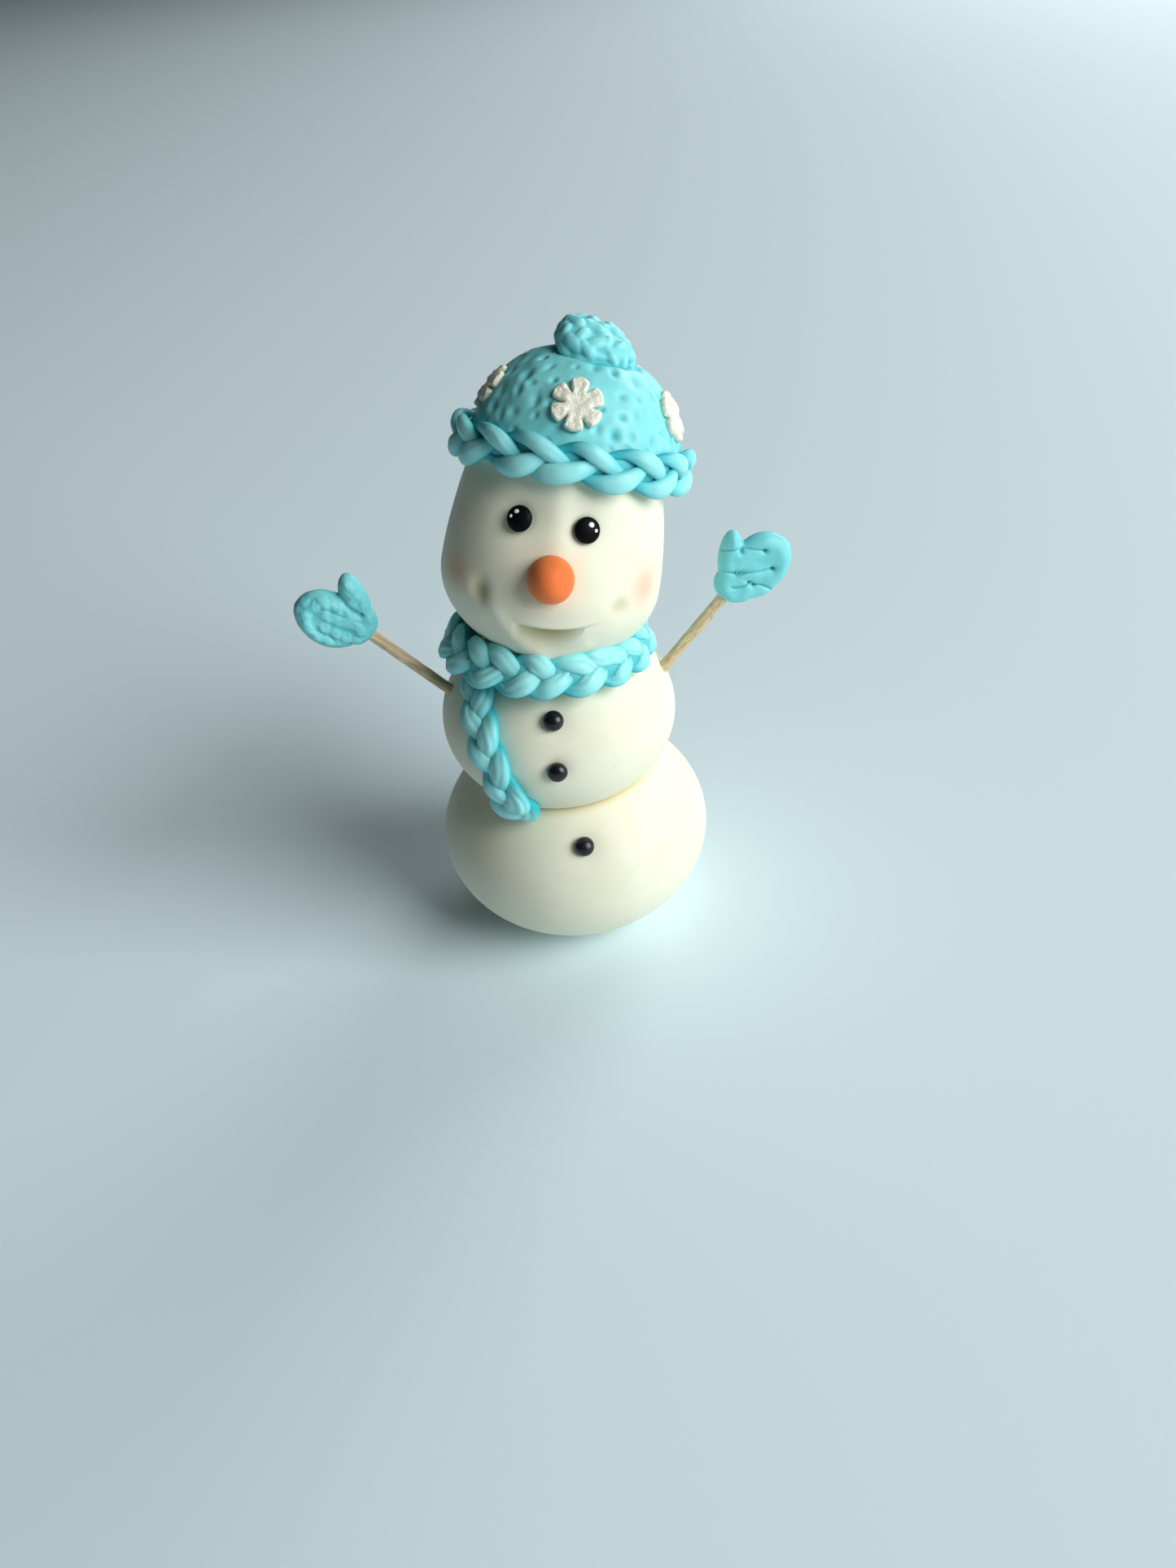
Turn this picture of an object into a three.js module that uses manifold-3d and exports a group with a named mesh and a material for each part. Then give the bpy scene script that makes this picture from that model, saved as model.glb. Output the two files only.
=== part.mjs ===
// A snowman modelled in sugar paste: three balls, a plaited scarf and hat brim,
// mittens on wooden picks, and snowflakes stuck round the hat.
// Millimetres, +Z up, origin at the middle of the flat foot, the face looks along -Y.
import * as THREE from 'three';
import { mergeVertices } from 'three/addons/utils/BufferGeometryUtils.js';
import Module from 'manifold-3d';

// ---- driving dimensions (mm and degrees) ----
const gap = 0.3;
const lowerBall = { radius: 26.6, rise: 20.4, centre: new THREE.Vector3(0, 0, 18.8) };
const middleBall = { radius: 22.4, rise: 17.4, centre: new THREE.Vector3(-0.8, 0, 46.6) };
const ballSeamHeight = 34.8;

const headCentre = new THREE.Vector3(0.5, 0.1, 75.3);
const headLean = 16.2;
const headTipBack = 15;
const headShape = {
  radius: 19.63, drop: 14.87, bottom: -13.4, top: 19,
  narrowing: 0.116, narrowingHeight: 17, narrowingPower: 1.8,
};

const crown = { radius: 18.6, rise: 20.25, roundness: 2.21, shift: 0.75 };
const brim = {
  radius: 19.6, depthShare: 1, height: 21.8, halfHeight: 3, halfThickness: 1.8, start: 94, sweep: 352,
};
const pompom = { size: [7.2, 6.2, 4.2], centre: [0.9, -3.3, 39.1], dropRight: 13, dropFront: 25 };
const flake = {
  reach: 4.4, petals: 6, notch: 0.36, thickness: 1, height: 30.25, azimuths: [-11.7, 64, 132, 204, 272.5],
};

const eye = {
  radius: 2.2, bulge: 1.15, height: 11.45, lift: 0.1, azimuths: { eye_left: -29.4, eye_right: 6.2 },
};
const nose = { radius: 3.9, length: 4.6, standOut: 1.2, azimuth: -8.4, height: 2.9 };
const dimple = { radius: 1.5, sink: 0.4, spots: [[-44.6, -1.6], [30.4, -0.7]] };
const smile = { from: -24, to: 24, height: -7.2, lift: 2.4, standOut: 0.2, radius: 1.5, beads: 13 };

const scarfWrap = {
  radius: 17.8, depthShare: 0.84, centre: [-1, 0, 62.9], tilt: 5.7,
  halfHeight: 3.8, halfThickness: 2.5, start: 94, sweep: 352,
};
const scarfTail = { halfWidth: 4.1, halfThickness: 1.9, lift: 1.7, endShare: 0.16 };
// Azimuth and height from the middle of the ball, from the wrap down to the tail's end.
const scarfTailRoute = [
  [-60, 11.2], [-49, 10.4], [-39.5, 7.8], [-33.8, 4.1], [-30.2, 0.4], [-27.6, -4.6], [-31, -10.5],
];

const button = { radius: 1.85, bulge: 1.5, lift: 0.3 };
const arm = { radius: 1, buried: 8, inMitten: 6 };
const arms = {
  left: { from: [-21.3, 0, 54.4], to: [-33.3, 0, 67.8] },
  right: { from: [19.8, 0, 52.7], to: [31.1, 0, 65.7] },
};
// A mitten's thumb and hand are curves inside its rounded edge, across and up from its cuff.
const mitten = { thickness: 4.8, edge: 1.3, cuffHalfWidth: 1.6, cuffFoot: [0.7, 1] };
const mittens = {
  left: {
    cuff: [-32.9, 0, 67.3],
    lean: -53,
    thumbSide: 1,
    thumb: [[4.1, 3.6], [6.3, 6], [7.4, 7.9], [6.9, 8.8], [4.6, 8.7]],
    hand: [[3.7, 12], [1, 13.4], [-2.3, 12.5], [-4.3, 9.4], [-3.6, 4.4]],
  },
  right: {
    cuff: [32.2, 0, 65.5],
    lean: 39.7,
    thumbSide: -1,
    thumb: [[3.8, 3.6], [5.6, 6.8], [6.7, 9.2], [6.2, 10.2], [4.2, 9.6]],
    hand: [[3.6, 12.9], [1.4, 14.1], [-2.3, 12.8], [-4.5, 9.2], [-3.9, 4.6]],
  },
};

// ---- how finely the curved surfaces are divided ----
const facets = {
  ball: [28, 11], head: 12, crown: 10, lump: [15, 11], bead: [12, 8], hollow: [10, 6], nose: [15, 9],
  ring: [28, 8], tail: [14, 10], smile: [10, 6], rod: 12, mittenCurve: 2, mittenEdge: 2, petal: 4,
};

// ---- materials ----
const finish = (color, roughness) => new THREE.MeshStandardMaterial({ color, roughness, metalness: 0 });
const whitePaste = () => finish(0xf1f0e6, 0.55);
const turquoisePaste = () => finish(0x7fd6db, 0.5);
const blackPaste = () => finish(0x0c0c10, 0.3);
const orangePaste = () => finish(0xf0824a, 0.6);
const sugarWhite = () => finish(0xe9ece9, 0.4);
const pickWood = () => finish(0xcbb184, 0.75);

// ---- solids: joining and cutting ----
const wasm = await Module();
wasm.setup();

function toSolid(geometry) {
  const bare = geometry.clone();
  bare.deleteAttribute('normal');
  bare.deleteAttribute('uv');
  const merged = mergeVertices(bare, 1e-4);
  const corners = merged.index.array;
  const kept = [];
  for (let i = 0; i < corners.length; i += 3) {
    const [a, b, c] = [corners[i], corners[i + 1], corners[i + 2]];
    if (a !== b && b !== c && c !== a) kept.push(a, b, c);
  }
  return new wasm.Manifold(new wasm.Mesh({
    numProp: 3,
    vertProperties: new Float32Array(merged.attributes.position.array),
    triVerts: new Uint32Array(kept),
  }));
}

function toGeometry(solid) {
  const mesh = solid.getMesh();
  const geometry = new THREE.BufferGeometry();
  geometry.setAttribute('position', new THREE.BufferAttribute(new Float32Array(mesh.vertProperties), 3));
  geometry.setIndex(new THREE.BufferAttribute(new Uint32Array(mesh.triVerts), 1));
  return geometry;
}

function cut(geometry, ...cutters) {
  return toGeometry(cutters.reduce((left, cutter) => left.subtract(toSolid(cutter)), toSolid(geometry)));
}

// ---- shapes ----
const degrees = THREE.MathUtils.degToRad;

// A shape turned about Z from a list of [radius, height] points that starts and ends on the axis.
function turned(points, sides = facets.ball[0]) {
  const lathe = new THREE.LatheGeometry(points.map(([r, z]) => new THREE.Vector2(r, z)), sides);
  return lathe.rotateX(Math.PI / 2);
}

// A flattened ball between two heights measured from its centre; flat where it is cut short.
function flattenedBall({ radius, rise, centre }, grow = 0, bottom = -rise, top = rise) {
  const low = Math.asin(THREE.MathUtils.clamp(bottom / (rise + grow), -1, 1));
  const high = Math.asin(THREE.MathUtils.clamp(top / (rise + grow), -1, 1));
  const profile = [[0, (rise + grow) * Math.sin(low)]];
  const steps = facets.ball[1];
  for (let i = 0; i <= steps; i++) {
    const angle = low + (high - low) * i / steps;
    profile.push([(radius + grow) * Math.max(Math.cos(angle), 0), (rise + grow) * Math.sin(angle)]);
  }
  profile.push([0, (rise + grow) * Math.sin(high)]);
  const whole = profile.filter(([r], i) => r > 1e-6 || i === 0 || i === profile.length - 1);
  return turned(whole).translate(centre.x, centre.y, centre.z);
}

// An ellipsoid with its short or long axis along Z.
function bead(width, depth, height, [sides, rings]) {
  return new THREE.SphereGeometry(1, sides, rings).rotateX(Math.PI / 2).scale(width, depth, height);
}

// A frame that stands on a turned surface: its Z points outwards along the normal, its Y upwards.
const slopeStep = 0.01;

function frameOn(profileRadius, azimuth, z, lift = 0) {
  const turn = degrees(azimuth);
  const slope = (profileRadius(z + slopeStep) - profileRadius(z - slopeStep)) / (2 * slopeStep);
  const outwards = new THREE.Vector3(Math.sin(turn), -Math.cos(turn), -slope).normalize();
  const sideways = new THREE.Vector3(Math.cos(turn), Math.sin(turn), 0);
  const upwards = new THREE.Vector3().crossVectors(outwards, sideways);
  const radius = profileRadius(z);
  const spot = new THREE.Vector3(radius * Math.sin(turn), -radius * Math.cos(turn), z);
  spot.addScaledVector(outwards, lift);
  return new THREE.Matrix4().makeBasis(sideways, upwards, outwards).setPosition(spot);
}

// A closed bar that follows a route. route(t) gives its middle and the unit directions of its
// width and its thickness (width x along = thickness) for t from 0 to 1; both ends are rounded
// off over endShare of its length, down to half of its size.
const endRounding = 0.75;

function bentBar(route, halfWidth, halfThickness, [steps, sides], endShare) {
  const bar = new THREE.CylinderGeometry(1, 1, 1, sides, steps);
  const position = bar.attributes.position;
  for (let i = 0; i < position.count; i++) {
    const t = position.getY(i) + 0.5;
    const fromEnd = Math.min(t, 1 - t) / endShare;
    const size = fromEnd < 1 ? Math.sqrt(1 - endRounding * (1 - fromEnd) ** 2) : 1;
    const { middle, width, thickness } = route(t);
    const point = middle.clone();
    point.addScaledVector(width, position.getX(i) * halfWidth * size);
    point.addScaledVector(thickness, position.getZ(i) * halfThickness * size);
    position.setXYZ(i, point.x, point.y, point.z);
  }
  return bar;
}

// A ring laid round the Z axis as an almost closed bar, its two ends meeting at the back. Its back
// half is as deep as depthShare of its radius.
const ringEndShare = 0.015;

function ringBar({ radius, depthShare, halfHeight, halfThickness, start, sweep }, grow = 0) {
  const route = (t) => {
    const angle = degrees(start + sweep * t);
    const depth = Math.sin(angle) > 0 ? depthShare : 1;
    const outwards = new THREE.Vector3(Math.cos(angle) * depth, Math.sin(angle), 0).normalize();
    const middle = new THREE.Vector3(radius * Math.cos(angle), radius * depth * Math.sin(angle), 0);
    return { middle, width: new THREE.Vector3(0, 0, -1), thickness: outwards };
  };
  return bentBar(route, halfHeight + grow, halfThickness + grow, facets.ring, ringEndShare);
}

// ---- the model ----
const snowman = new THREE.Group();
const headGroup = new THREE.Group();
headGroup.position.copy(headCentre);
headGroup.rotation.set(-degrees(headTipBack), degrees(headLean), 0, 'YXZ');
headGroup.updateMatrix();
snowman.add(headGroup);

function add(parent, name, geometry, material, frame) {
  const mesh = new THREE.Mesh(geometry, material);
  mesh.name = name;
  if (frame) mesh.applyMatrix4(frame);
  parent.add(mesh);
  return mesh;
}

// Head: an egg narrowing towards the top, flat underneath and on top.
function headRadius(z) {
  const { radius, drop, narrowing, narrowingHeight, narrowingPower } = headShape;
  if (z < 0) return radius * Math.sqrt(Math.max(1 - (z / drop) ** 2, 0));
  return radius * (1 - narrowing * (z / narrowingHeight) ** narrowingPower);
}

function headBody(grow = 0) {
  const { bottom, top } = headShape;
  const profile = [[0, bottom - grow]];
  const steps = facets.head;
  const skipped = 2;
  for (let i = 0; i <= steps; i++) {
    const turn = Math.PI * (i + skipped) / (steps + 2 * skipped);
    const z = bottom + (top - bottom) * (1 - Math.cos(turn)) / 2;
    profile.push([headRadius(z) + grow, z]);
  }
  profile[1] = [headRadius(bottom) + grow, bottom - grow];
  profile[profile.length - 1] = [headRadius(top) + grow, top];
  profile.push([0, top]);
  return turned(profile);
}

// Middle of a facial piece, as a frame on the head.
const onHead = (azimuth, z, lift) => frameOn(headRadius, azimuth, z, lift);

// Smile: a bent sausage swept through the head, deepest in the middle.
function smileCutter() {
  const points = [];
  for (let i = 0; i < smile.beads; i++) {
    const share = i / (smile.beads - 1);
    const fromMiddle = 2 * share - 1;
    const azimuth = smile.from + (smile.to - smile.from) * share;
    const place = onHead(azimuth, smile.height + smile.lift * fromMiddle ** 2, smile.standOut);
    points.push(new THREE.Vector3().setFromMatrixPosition(place));
  }
  const curve = new THREE.CatmullRomCurve3(points);
  const route = (t) => {
    const middle = curve.getPoint(t);
    const thickness = middle.clone().setZ(0).normalize();
    return { middle, width: new THREE.Vector3(0, 0, -1), thickness };
  };
  return bentBar(route, smile.radius, smile.radius, facets.smile, 0.5);
}

const eyeFrames = Object.entries(eye.azimuths).map(([name, azimuth]) => (
  [name, onHead(azimuth, eye.height, eye.lift)]));
const noseFrame = onHead(nose.azimuth, nose.height, nose.standOut);
const eyeBead = (grow = 0) => bead(eye.radius + grow, eye.radius + grow, eye.bulge + grow, facets.bead);
const noseBead = (grow = 0) => (
  bead(nose.radius + grow, nose.radius + grow, nose.length + grow, facets.nose));
const dimples = dimple.spots.map(([azimuth, z]) => {
  const ball = bead(dimple.radius, dimple.radius, dimple.radius, facets.hollow);
  return ball.applyMatrix4(onHead(azimuth, z, dimple.sink));
});
const headWithHollows = cut(
  headBody(),
  ...eyeFrames.map(([, frame]) => eyeBead(gap).applyMatrix4(frame)),
  noseBead(gap).applyMatrix4(noseFrame),
  ...dimples,
  smileCutter(),
);
add(headGroup, 'head', headWithHollows, whitePaste());
eyeFrames.forEach(([name, frame]) => add(headGroup, name, eyeBead(), blackPaste(), frame));
add(headGroup, 'nose', noseBead(), orangePaste(), noseFrame);

// Hat crown: a domed cap, r and z on a superellipse, flat where it sits on the head.
function crownRadius(z, grow = 0) {
  const share = THREE.MathUtils.clamp((z - headShape.top) / (crown.rise + grow), 0, 1);
  return (crown.radius + grow) * (1 - share ** crown.roundness) ** (1 / crown.roundness);
}

function crownBody(grow = 0) {
  const foot = headShape.top + gap;
  const profile = [[0, foot]];
  const steps = facets.crown;
  for (let i = 0; i < steps; i++) {
    const z = headShape.top + (crown.rise + grow) * Math.sin(Math.PI / 2 * i / steps);
    const atHeight = Math.max(z, foot);
    profile.push([crownRadius(atHeight, grow), atHeight]);
  }
  profile.push([0, headShape.top + crown.rise + grow]);
  return turned(profile).translate(crown.shift, 0, 0);
}
add(headGroup, 'hat_crown', crownBody(), turquoisePaste());

const brimRing = ringBar(brim).translate(crown.shift / 2, 0, brim.height);
add(headGroup, 'hat_brim', cut(brimRing, crownBody(gap), headBody(gap)), turquoisePaste());

// Pompom: a flattened lump dished by the crown it sits on.
const pompomTurn = new THREE.Euler(degrees(pompom.dropFront), degrees(pompom.dropRight), 0);
const pompomFrame = new THREE.Matrix4().makeRotationFromEuler(pompomTurn);
pompomFrame.setPosition(...pompom.centre);
const pompomLump = bead(...pompom.size, facets.lump).applyMatrix4(pompomFrame);
add(headGroup, 'pompom', cut(pompomLump, crownBody(gap)), turquoisePaste());

// Snowflakes: six rounded petals with narrow notches, one petal upwards, bent to the crown's curve.
function flakePrism() {
  const outline = [];
  const steps = facets.petal * flake.petals;
  for (let i = 0; i < steps; i++) {
    const turn = 2 * Math.PI * i / steps;
    const petal = Math.abs(Math.cos(flake.petals * (turn - Math.PI / 2) / 2));
    const reach = flake.reach * (1 - flake.notch + flake.notch * Math.sqrt(petal));
    outline.push(new THREE.Vector2(reach * Math.cos(turn), reach * Math.sin(turn)));
  }
  const depth = 3 * flake.thickness;
  const prism = new THREE.ExtrudeGeometry(new THREE.Shape(outline), { depth, bevelEnabled: false });
  return prism.translate(0, 0, -depth / 2);
}

for (const [i, azimuth] of flake.azimuths.entries()) {
  const frame = frameOn((z) => crownRadius(z), azimuth, flake.height);
  const prism = toSolid(flakePrism().applyMatrix4(frame).translate(crown.shift, 0, 0));
  const bent = prism.intersect(toSolid(crownBody(gap + flake.thickness))).subtract(toSolid(crownBody(gap)));
  add(headGroup, `snowflake_${i + 1}`, toGeometry(bent), sugarWhite());
}

// Balls: pressed flat onto each other; the top one is pressed flat by the leaning head.
const lowerTop = ballSeamHeight - gap / 2 - lowerBall.centre.z;
const lower = flattenedBall(lowerBall, 0, -lowerBall.centre.z, lowerTop);
const middle = flattenedBall(middleBall, 0, ballSeamHeight + gap / 2 - middleBall.centre.z);
const ballRadius = ({ radius, rise }) => (z) => radius * Math.sqrt(1 - (z / rise) ** 2);

function onBall(ball, azimuth, z, lift) {
  const frame = frameOn(ballRadius(ball), azimuth, z, lift);
  return new THREE.Matrix4().setPosition(ball.centre).multiply(frame);
}

const buttonPlaces = [
  ['button_1', middleBall, -5.1, 9.6],
  ['button_2', middleBall, -5.3, 1.2],
  ['button_3', lowerBall, 1.1, 11.1],
];
const buttonBead = (grow = 0) => (
  bead(button.radius + grow, button.radius + grow, button.bulge + grow, facets.bead));
const buttonHollows = (ball) => buttonPlaces
  .filter(([, carrier]) => carrier === ball)
  .map(([, carrier, azimuth, z]) => buttonBead(gap).applyMatrix4(onBall(carrier, azimuth, z, button.lift)));
buttonPlaces.forEach(([name, ball, azimuth, z]) => (
  add(snowman, name, buttonBead(), blackPaste(), onBall(ball, azimuth, z, button.lift))));

// Arms: straight picks, one end buried in the middle ball and the other in a mitten.
function pick({ from, to }, grow = 0) {
  const start = new THREE.Vector3(...from);
  const end = new THREE.Vector3(...to);
  const along = end.clone().sub(start).normalize();
  start.addScaledVector(along, -arm.buried - grow);
  end.addScaledVector(along, arm.inMitten + grow);
  const thickness = arm.radius + grow;
  const rod = new THREE.CylinderGeometry(thickness, thickness, start.distanceTo(end), facets.rod);
  const turn = new THREE.Quaternion().setFromUnitVectors(new THREE.Vector3(0, 1, 0), along);
  return rod.applyQuaternion(turn).translate(...start.add(end).multiplyScalar(0.5).toArray());
}

// Mitten outline: a narrow cuff, a thumb, a notch and one broad lobe for the fingers.
function mittenOutline({ thumbSide, thumb, hand }) {
  const { cuffHalfWidth, cuffFoot } = mitten;
  const shape = new THREE.Shape();
  const at = ([x, y]) => new THREE.Vector2(thumbSide * x, y);
  shape.moveTo(thumbSide * -cuffHalfWidth, cuffFoot[0]);
  shape.lineTo(thumbSide * cuffHalfWidth, cuffFoot[1]);
  shape.splineThru(thumb.map(at));
  shape.splineThru(hand.map(at));
  shape.lineTo(thumbSide * -cuffHalfWidth, cuffFoot[0]);
  return shape;
}

function mittenBody(shape) {
  const { thickness, edge } = mitten;
  const solid = new THREE.ExtrudeGeometry(mittenOutline(shape), {
    depth: thickness - 2 * edge,
    bevelThickness: edge,
    bevelSize: edge,
    bevelSegments: facets.mittenEdge,
    curveSegments: facets.mittenCurve,
  });
  solid.translate(0, 0, edge - thickness / 2);
  return solid.rotateX(Math.PI / 2).rotateY(degrees(shape.lean)).translate(...shape.cuff);
}

Object.keys(arms).forEach((side) => {
  add(snowman, `arm_${side}`, pick(arms[side]), pickWood());
  add(snowman, `mitten_${side}`, cut(mittenBody(mittens[side]), pick(arms[side], gap)), turquoisePaste());
});

const headInPlace = (grow) => headBody(grow).applyMatrix4(headGroup.matrix);
const lowerCut = cut(lower, ...buttonHollows(lowerBall));
const armSockets = Object.values(arms).map((place) => pick(place, gap));
const middleCut = cut(middle, headInPlace(gap), ...armSockets, ...buttonHollows(middleBall));
add(snowman, 'lower_ball', lowerCut, whitePaste());
add(snowman, 'middle_ball', middleCut, whitePaste());

// Scarf: a plait round the neck, and its tail hanging down the front of the middle ball.
function wrapRing(grow = 0) {
  const ring = ringBar(scarfWrap, grow);
  ring.rotateX(-degrees(scarfWrap.tilt)).rotateY(degrees(scarfWrap.tilt));
  return ring.translate(...scarfWrap.centre);
}

function tailBar() {
  const spots = scarfTailRoute.map(([azimuth, z]) => (
    new THREE.Vector3().setFromMatrixPosition(onBall(middleBall, azimuth, z, scarfTail.lift))));
  const curve = new THREE.CatmullRomCurve3(spots);
  const route = (t) => {
    const middlePoint = curve.getPoint(t);
    const fromCentre = middlePoint.clone().sub(middleBall.centre);
    const flatness = (middleBall.radius / middleBall.rise) ** 2;
    const thickness = new THREE.Vector3(fromCentre.x, fromCentre.y, fromCentre.z * flatness).normalize();
    const width = new THREE.Vector3().crossVectors(curve.getTangent(t), thickness).normalize();
    return { middle: middlePoint, width, thickness };
  };
  return bentBar(route, scarfTail.halfWidth, scarfTail.halfThickness, facets.tail, scarfTail.endShare);
}

const middleGrown = flattenedBall(middleBall, gap);
const lowerGrown = flattenedBall(lowerBall, gap);
add(snowman, 'scarf_wrap', cut(wrapRing(), middleGrown, headInPlace(gap)), turquoisePaste());
add(snowman, 'scarf_tail', cut(tailBar(), middleGrown, lowerGrown, wrapRing(gap)), turquoisePaste());

export default snowman;
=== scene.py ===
import bpy
import numpy as np
from math import radians, pi
from mathutils import Matrix, Vector


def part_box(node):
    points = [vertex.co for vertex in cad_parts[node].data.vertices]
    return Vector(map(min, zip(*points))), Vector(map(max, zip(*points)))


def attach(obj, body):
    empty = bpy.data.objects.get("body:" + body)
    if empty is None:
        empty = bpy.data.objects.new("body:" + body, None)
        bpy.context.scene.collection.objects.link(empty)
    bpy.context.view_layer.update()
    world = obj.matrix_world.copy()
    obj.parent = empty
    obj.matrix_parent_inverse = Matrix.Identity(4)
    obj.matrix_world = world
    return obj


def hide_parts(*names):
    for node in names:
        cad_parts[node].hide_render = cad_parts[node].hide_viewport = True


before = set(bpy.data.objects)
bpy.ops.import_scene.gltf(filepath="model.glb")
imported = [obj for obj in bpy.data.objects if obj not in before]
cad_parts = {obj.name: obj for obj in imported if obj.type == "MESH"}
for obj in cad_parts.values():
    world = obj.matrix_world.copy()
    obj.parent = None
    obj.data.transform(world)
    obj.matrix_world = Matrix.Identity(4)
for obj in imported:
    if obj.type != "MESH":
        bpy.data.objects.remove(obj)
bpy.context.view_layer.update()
mm = 0.001
print("frame loaded:", len(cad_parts), "nodes")


# Lengths are in millimetres until makePiece turns them into metres.
def boxOf(node):
    low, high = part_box(node)
    return np.array(low) / mm, np.array(high) / mm


def middleOf(node):
    low, high = boxOf(node)
    return (low + high) / 2


# The head, hat and face share one tilted frame: leaned to the right, then tipped back.
headPose = {"centre": (0.5, 0.1, 75.3), "lean": 16.2, "tipBack": 15.0}


def turnY(angle):
    c, s = np.cos(radians(angle)), np.sin(radians(angle))
    return np.array([[c, 0, s], [0, 1, 0], [-s, 0, c]])


def turnX(angle):
    c, s = np.cos(radians(angle)), np.sin(radians(angle))
    return np.array([[1, 0, 0], [0, c, s], [0, -s, c]])


headTurn = turnY(headPose["lean"]) @ turnX(headPose["tipBack"])
headCentre = np.array(headPose["centre"])


def fromHead(points):
    return points @ headTurn.T + headCentre


def toHead(points):
    return (points - headCentre) @ headTurn


# Value noise: random numbers on a cubic lattice, blended with a smooth step, from -1 to 1.
def softNoise(points, cell, seed):
    table = np.random.default_rng(seed).uniform(-1, 1, (48, 48, 48))
    scaled = np.asarray(points) / cell + 500
    base = np.floor(scaled).astype(int)
    part = scaled - base
    part = part * part * (3 - 2 * part)
    total = np.zeros(scaled.shape[:-1])
    for corner in range(8):
        step = np.array([corner & 1, corner >> 1 & 1, corner >> 2 & 1])
        weight = np.prod(np.where(step, part, 1 - part), axis=-1)
        spot = (base + step) % 48
        total += weight * table[spot[..., 0], spot[..., 1], spot[..., 2]]
    return total


# Rises from 0 at low to 1 at high as 3 t^2 - 2 t^3.
def smoothStep(low, high, values):
    t = np.clip((values - low) / (high - low), 0, 1)
    return t * t * (3 - 2 * t)


# 1 at 0, falling away on both sides as exp(-(x / width)^2).
def bell(x, width):
    return np.exp(-(x / width) ** 2)


def unitVectors(vectors):
    return vectors / np.linalg.norm(vectors, axis=-1, keepdims=True)


# A closed skin from an array of rings: neighbours are joined by quads round and along, and each
# end ring is closed with a fan to its own middle.
def closedSkin(grid):
    rings, columns = grid.shape[:2]
    i, j = np.meshgrid(np.arange(rings - 1), np.arange(columns), indexing="ij")
    nextJ = (j + 1) % columns
    quads = np.stack([i * columns + j, i * columns + nextJ, (i + 1) * columns + nextJ,
                      (i + 1) * columns + j], -1).reshape(-1, 4)
    around = np.arange(columns)
    following = (around + 1) % columns
    first = np.full(columns, rings * columns)
    top = (rings - 1) * columns
    fans = np.concatenate([np.stack([first, following, around], -1),
                           np.stack([first + 1, top + around, top + following], -1)])
    ends = np.stack([grid[0].mean(0), grid[-1].mean(0)])
    return np.concatenate([grid.reshape(-1, 3), ends]), quads, fans


# Several closed skins as one.
def joinSkins(skins):
    verts, quads, fans, start = [], [], [], 0
    for v, q, f in skins:
        verts.append(v)
        quads.append(q + start)
        fans.append(f + start)
        start += len(v)
    return np.concatenate(verts), np.concatenate(quads), np.concatenate(fans)


# Six times the volume that the skin encloses; negative where its faces point inwards.
def signedVolume(verts, quads, fans):
    tris = np.concatenate([quads[:, [0, 1, 2]], quads[:, [0, 2, 3]], fans])
    a, b, c = verts[tris[:, 0]], verts[tris[:, 1]], verts[tris[:, 2]]
    return np.einsum("ij,ij->i", a, np.cross(b, c)).sum()


def makePiece(name, skin, material, slot, node=None, **masks):
    verts, quads, fans = skin
    centred = verts - verts.mean(0)
    if signedVolume(centred, quads, fans) < 0:
        quads, fans = quads[:, ::-1], fans[:, ::-1]
    corners = np.concatenate([quads.ravel(), fans.ravel()])
    starts = np.concatenate([np.arange(len(quads)) * 4, len(quads) * 4 + np.arange(len(fans)) * 3])
    mesh = bpy.data.meshes.new(name)
    mesh.vertices.add(len(verts))
    mesh.vertices.foreach_set("co", (verts * mm).astype(np.float32).ravel())
    mesh.loops.add(len(corners))
    mesh.loops.foreach_set("vertex_index", corners.astype(np.int32))
    mesh.polygons.add(len(starts))
    mesh.polygons.foreach_set("loop_start", starts.astype(np.int32))
    mesh.update(calc_edges=True)
    mesh.validate()
    mesh.shade_smooth()
    for maskName, values in masks.items():
        layer = mesh.attributes.new(maskName, "FLOAT", "POINT")
        layer.data.foreach_set("value", np.asarray(values, np.float32).ravel())
    piece = bpy.data.objects.new(name, mesh)
    bpy.context.scene.collection.objects.link(piece)
    mesh.materials.append(material)
    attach(piece, "root")
    if node:
        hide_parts(node)
    return piece


# The values that a grid's vertices carry, with one more for each end's middle.
def withEnds(values):
    return np.concatenate([values.reshape(-1), [values[0].mean(), values[-1].mean()]])


# Unit normals of a grid of rings, from its own slopes, pointing away from its centre.
def gridNormals(grid, centre):
    along = np.gradient(grid, axis=0)
    around = (np.roll(grid, -1, 1) - np.roll(grid, 1, 1)) / 2
    normals = np.cross(around, along)
    normals /= np.linalg.norm(normals, axis=-1, keepdims=True) + 1e-9
    return normals * np.sign((normals * (grid - centre)).sum(-1).mean())


# A spot on a turned surface: its place, and unit vectors sideways, upwards and outwards.
def spotOn(profileRadius, azimuth, height):
    turn = radians(azimuth)
    step = 0.05
    slope = (profileRadius(height + step) - profileRadius(height - step)) / (2 * step)
    outwards = unitVectors(np.array([np.sin(turn), -np.cos(turn), -slope]))
    sideways = np.array([np.cos(turn), np.sin(turn), 0])
    upwards = np.cross(outwards, sideways)
    radius = profileRadius(height)
    place = np.array([radius * np.sin(turn), -radius * np.cos(turn), height])
    return place, sideways, upwards, outwards


# How far points lie sideways, upwards and outwards of a spot.
def seenFrom(points, spot):
    place, sideways, upwards, outwards = spot
    apart = points - place
    return apart @ sideways, apart @ upwards, apart @ outwards


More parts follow.
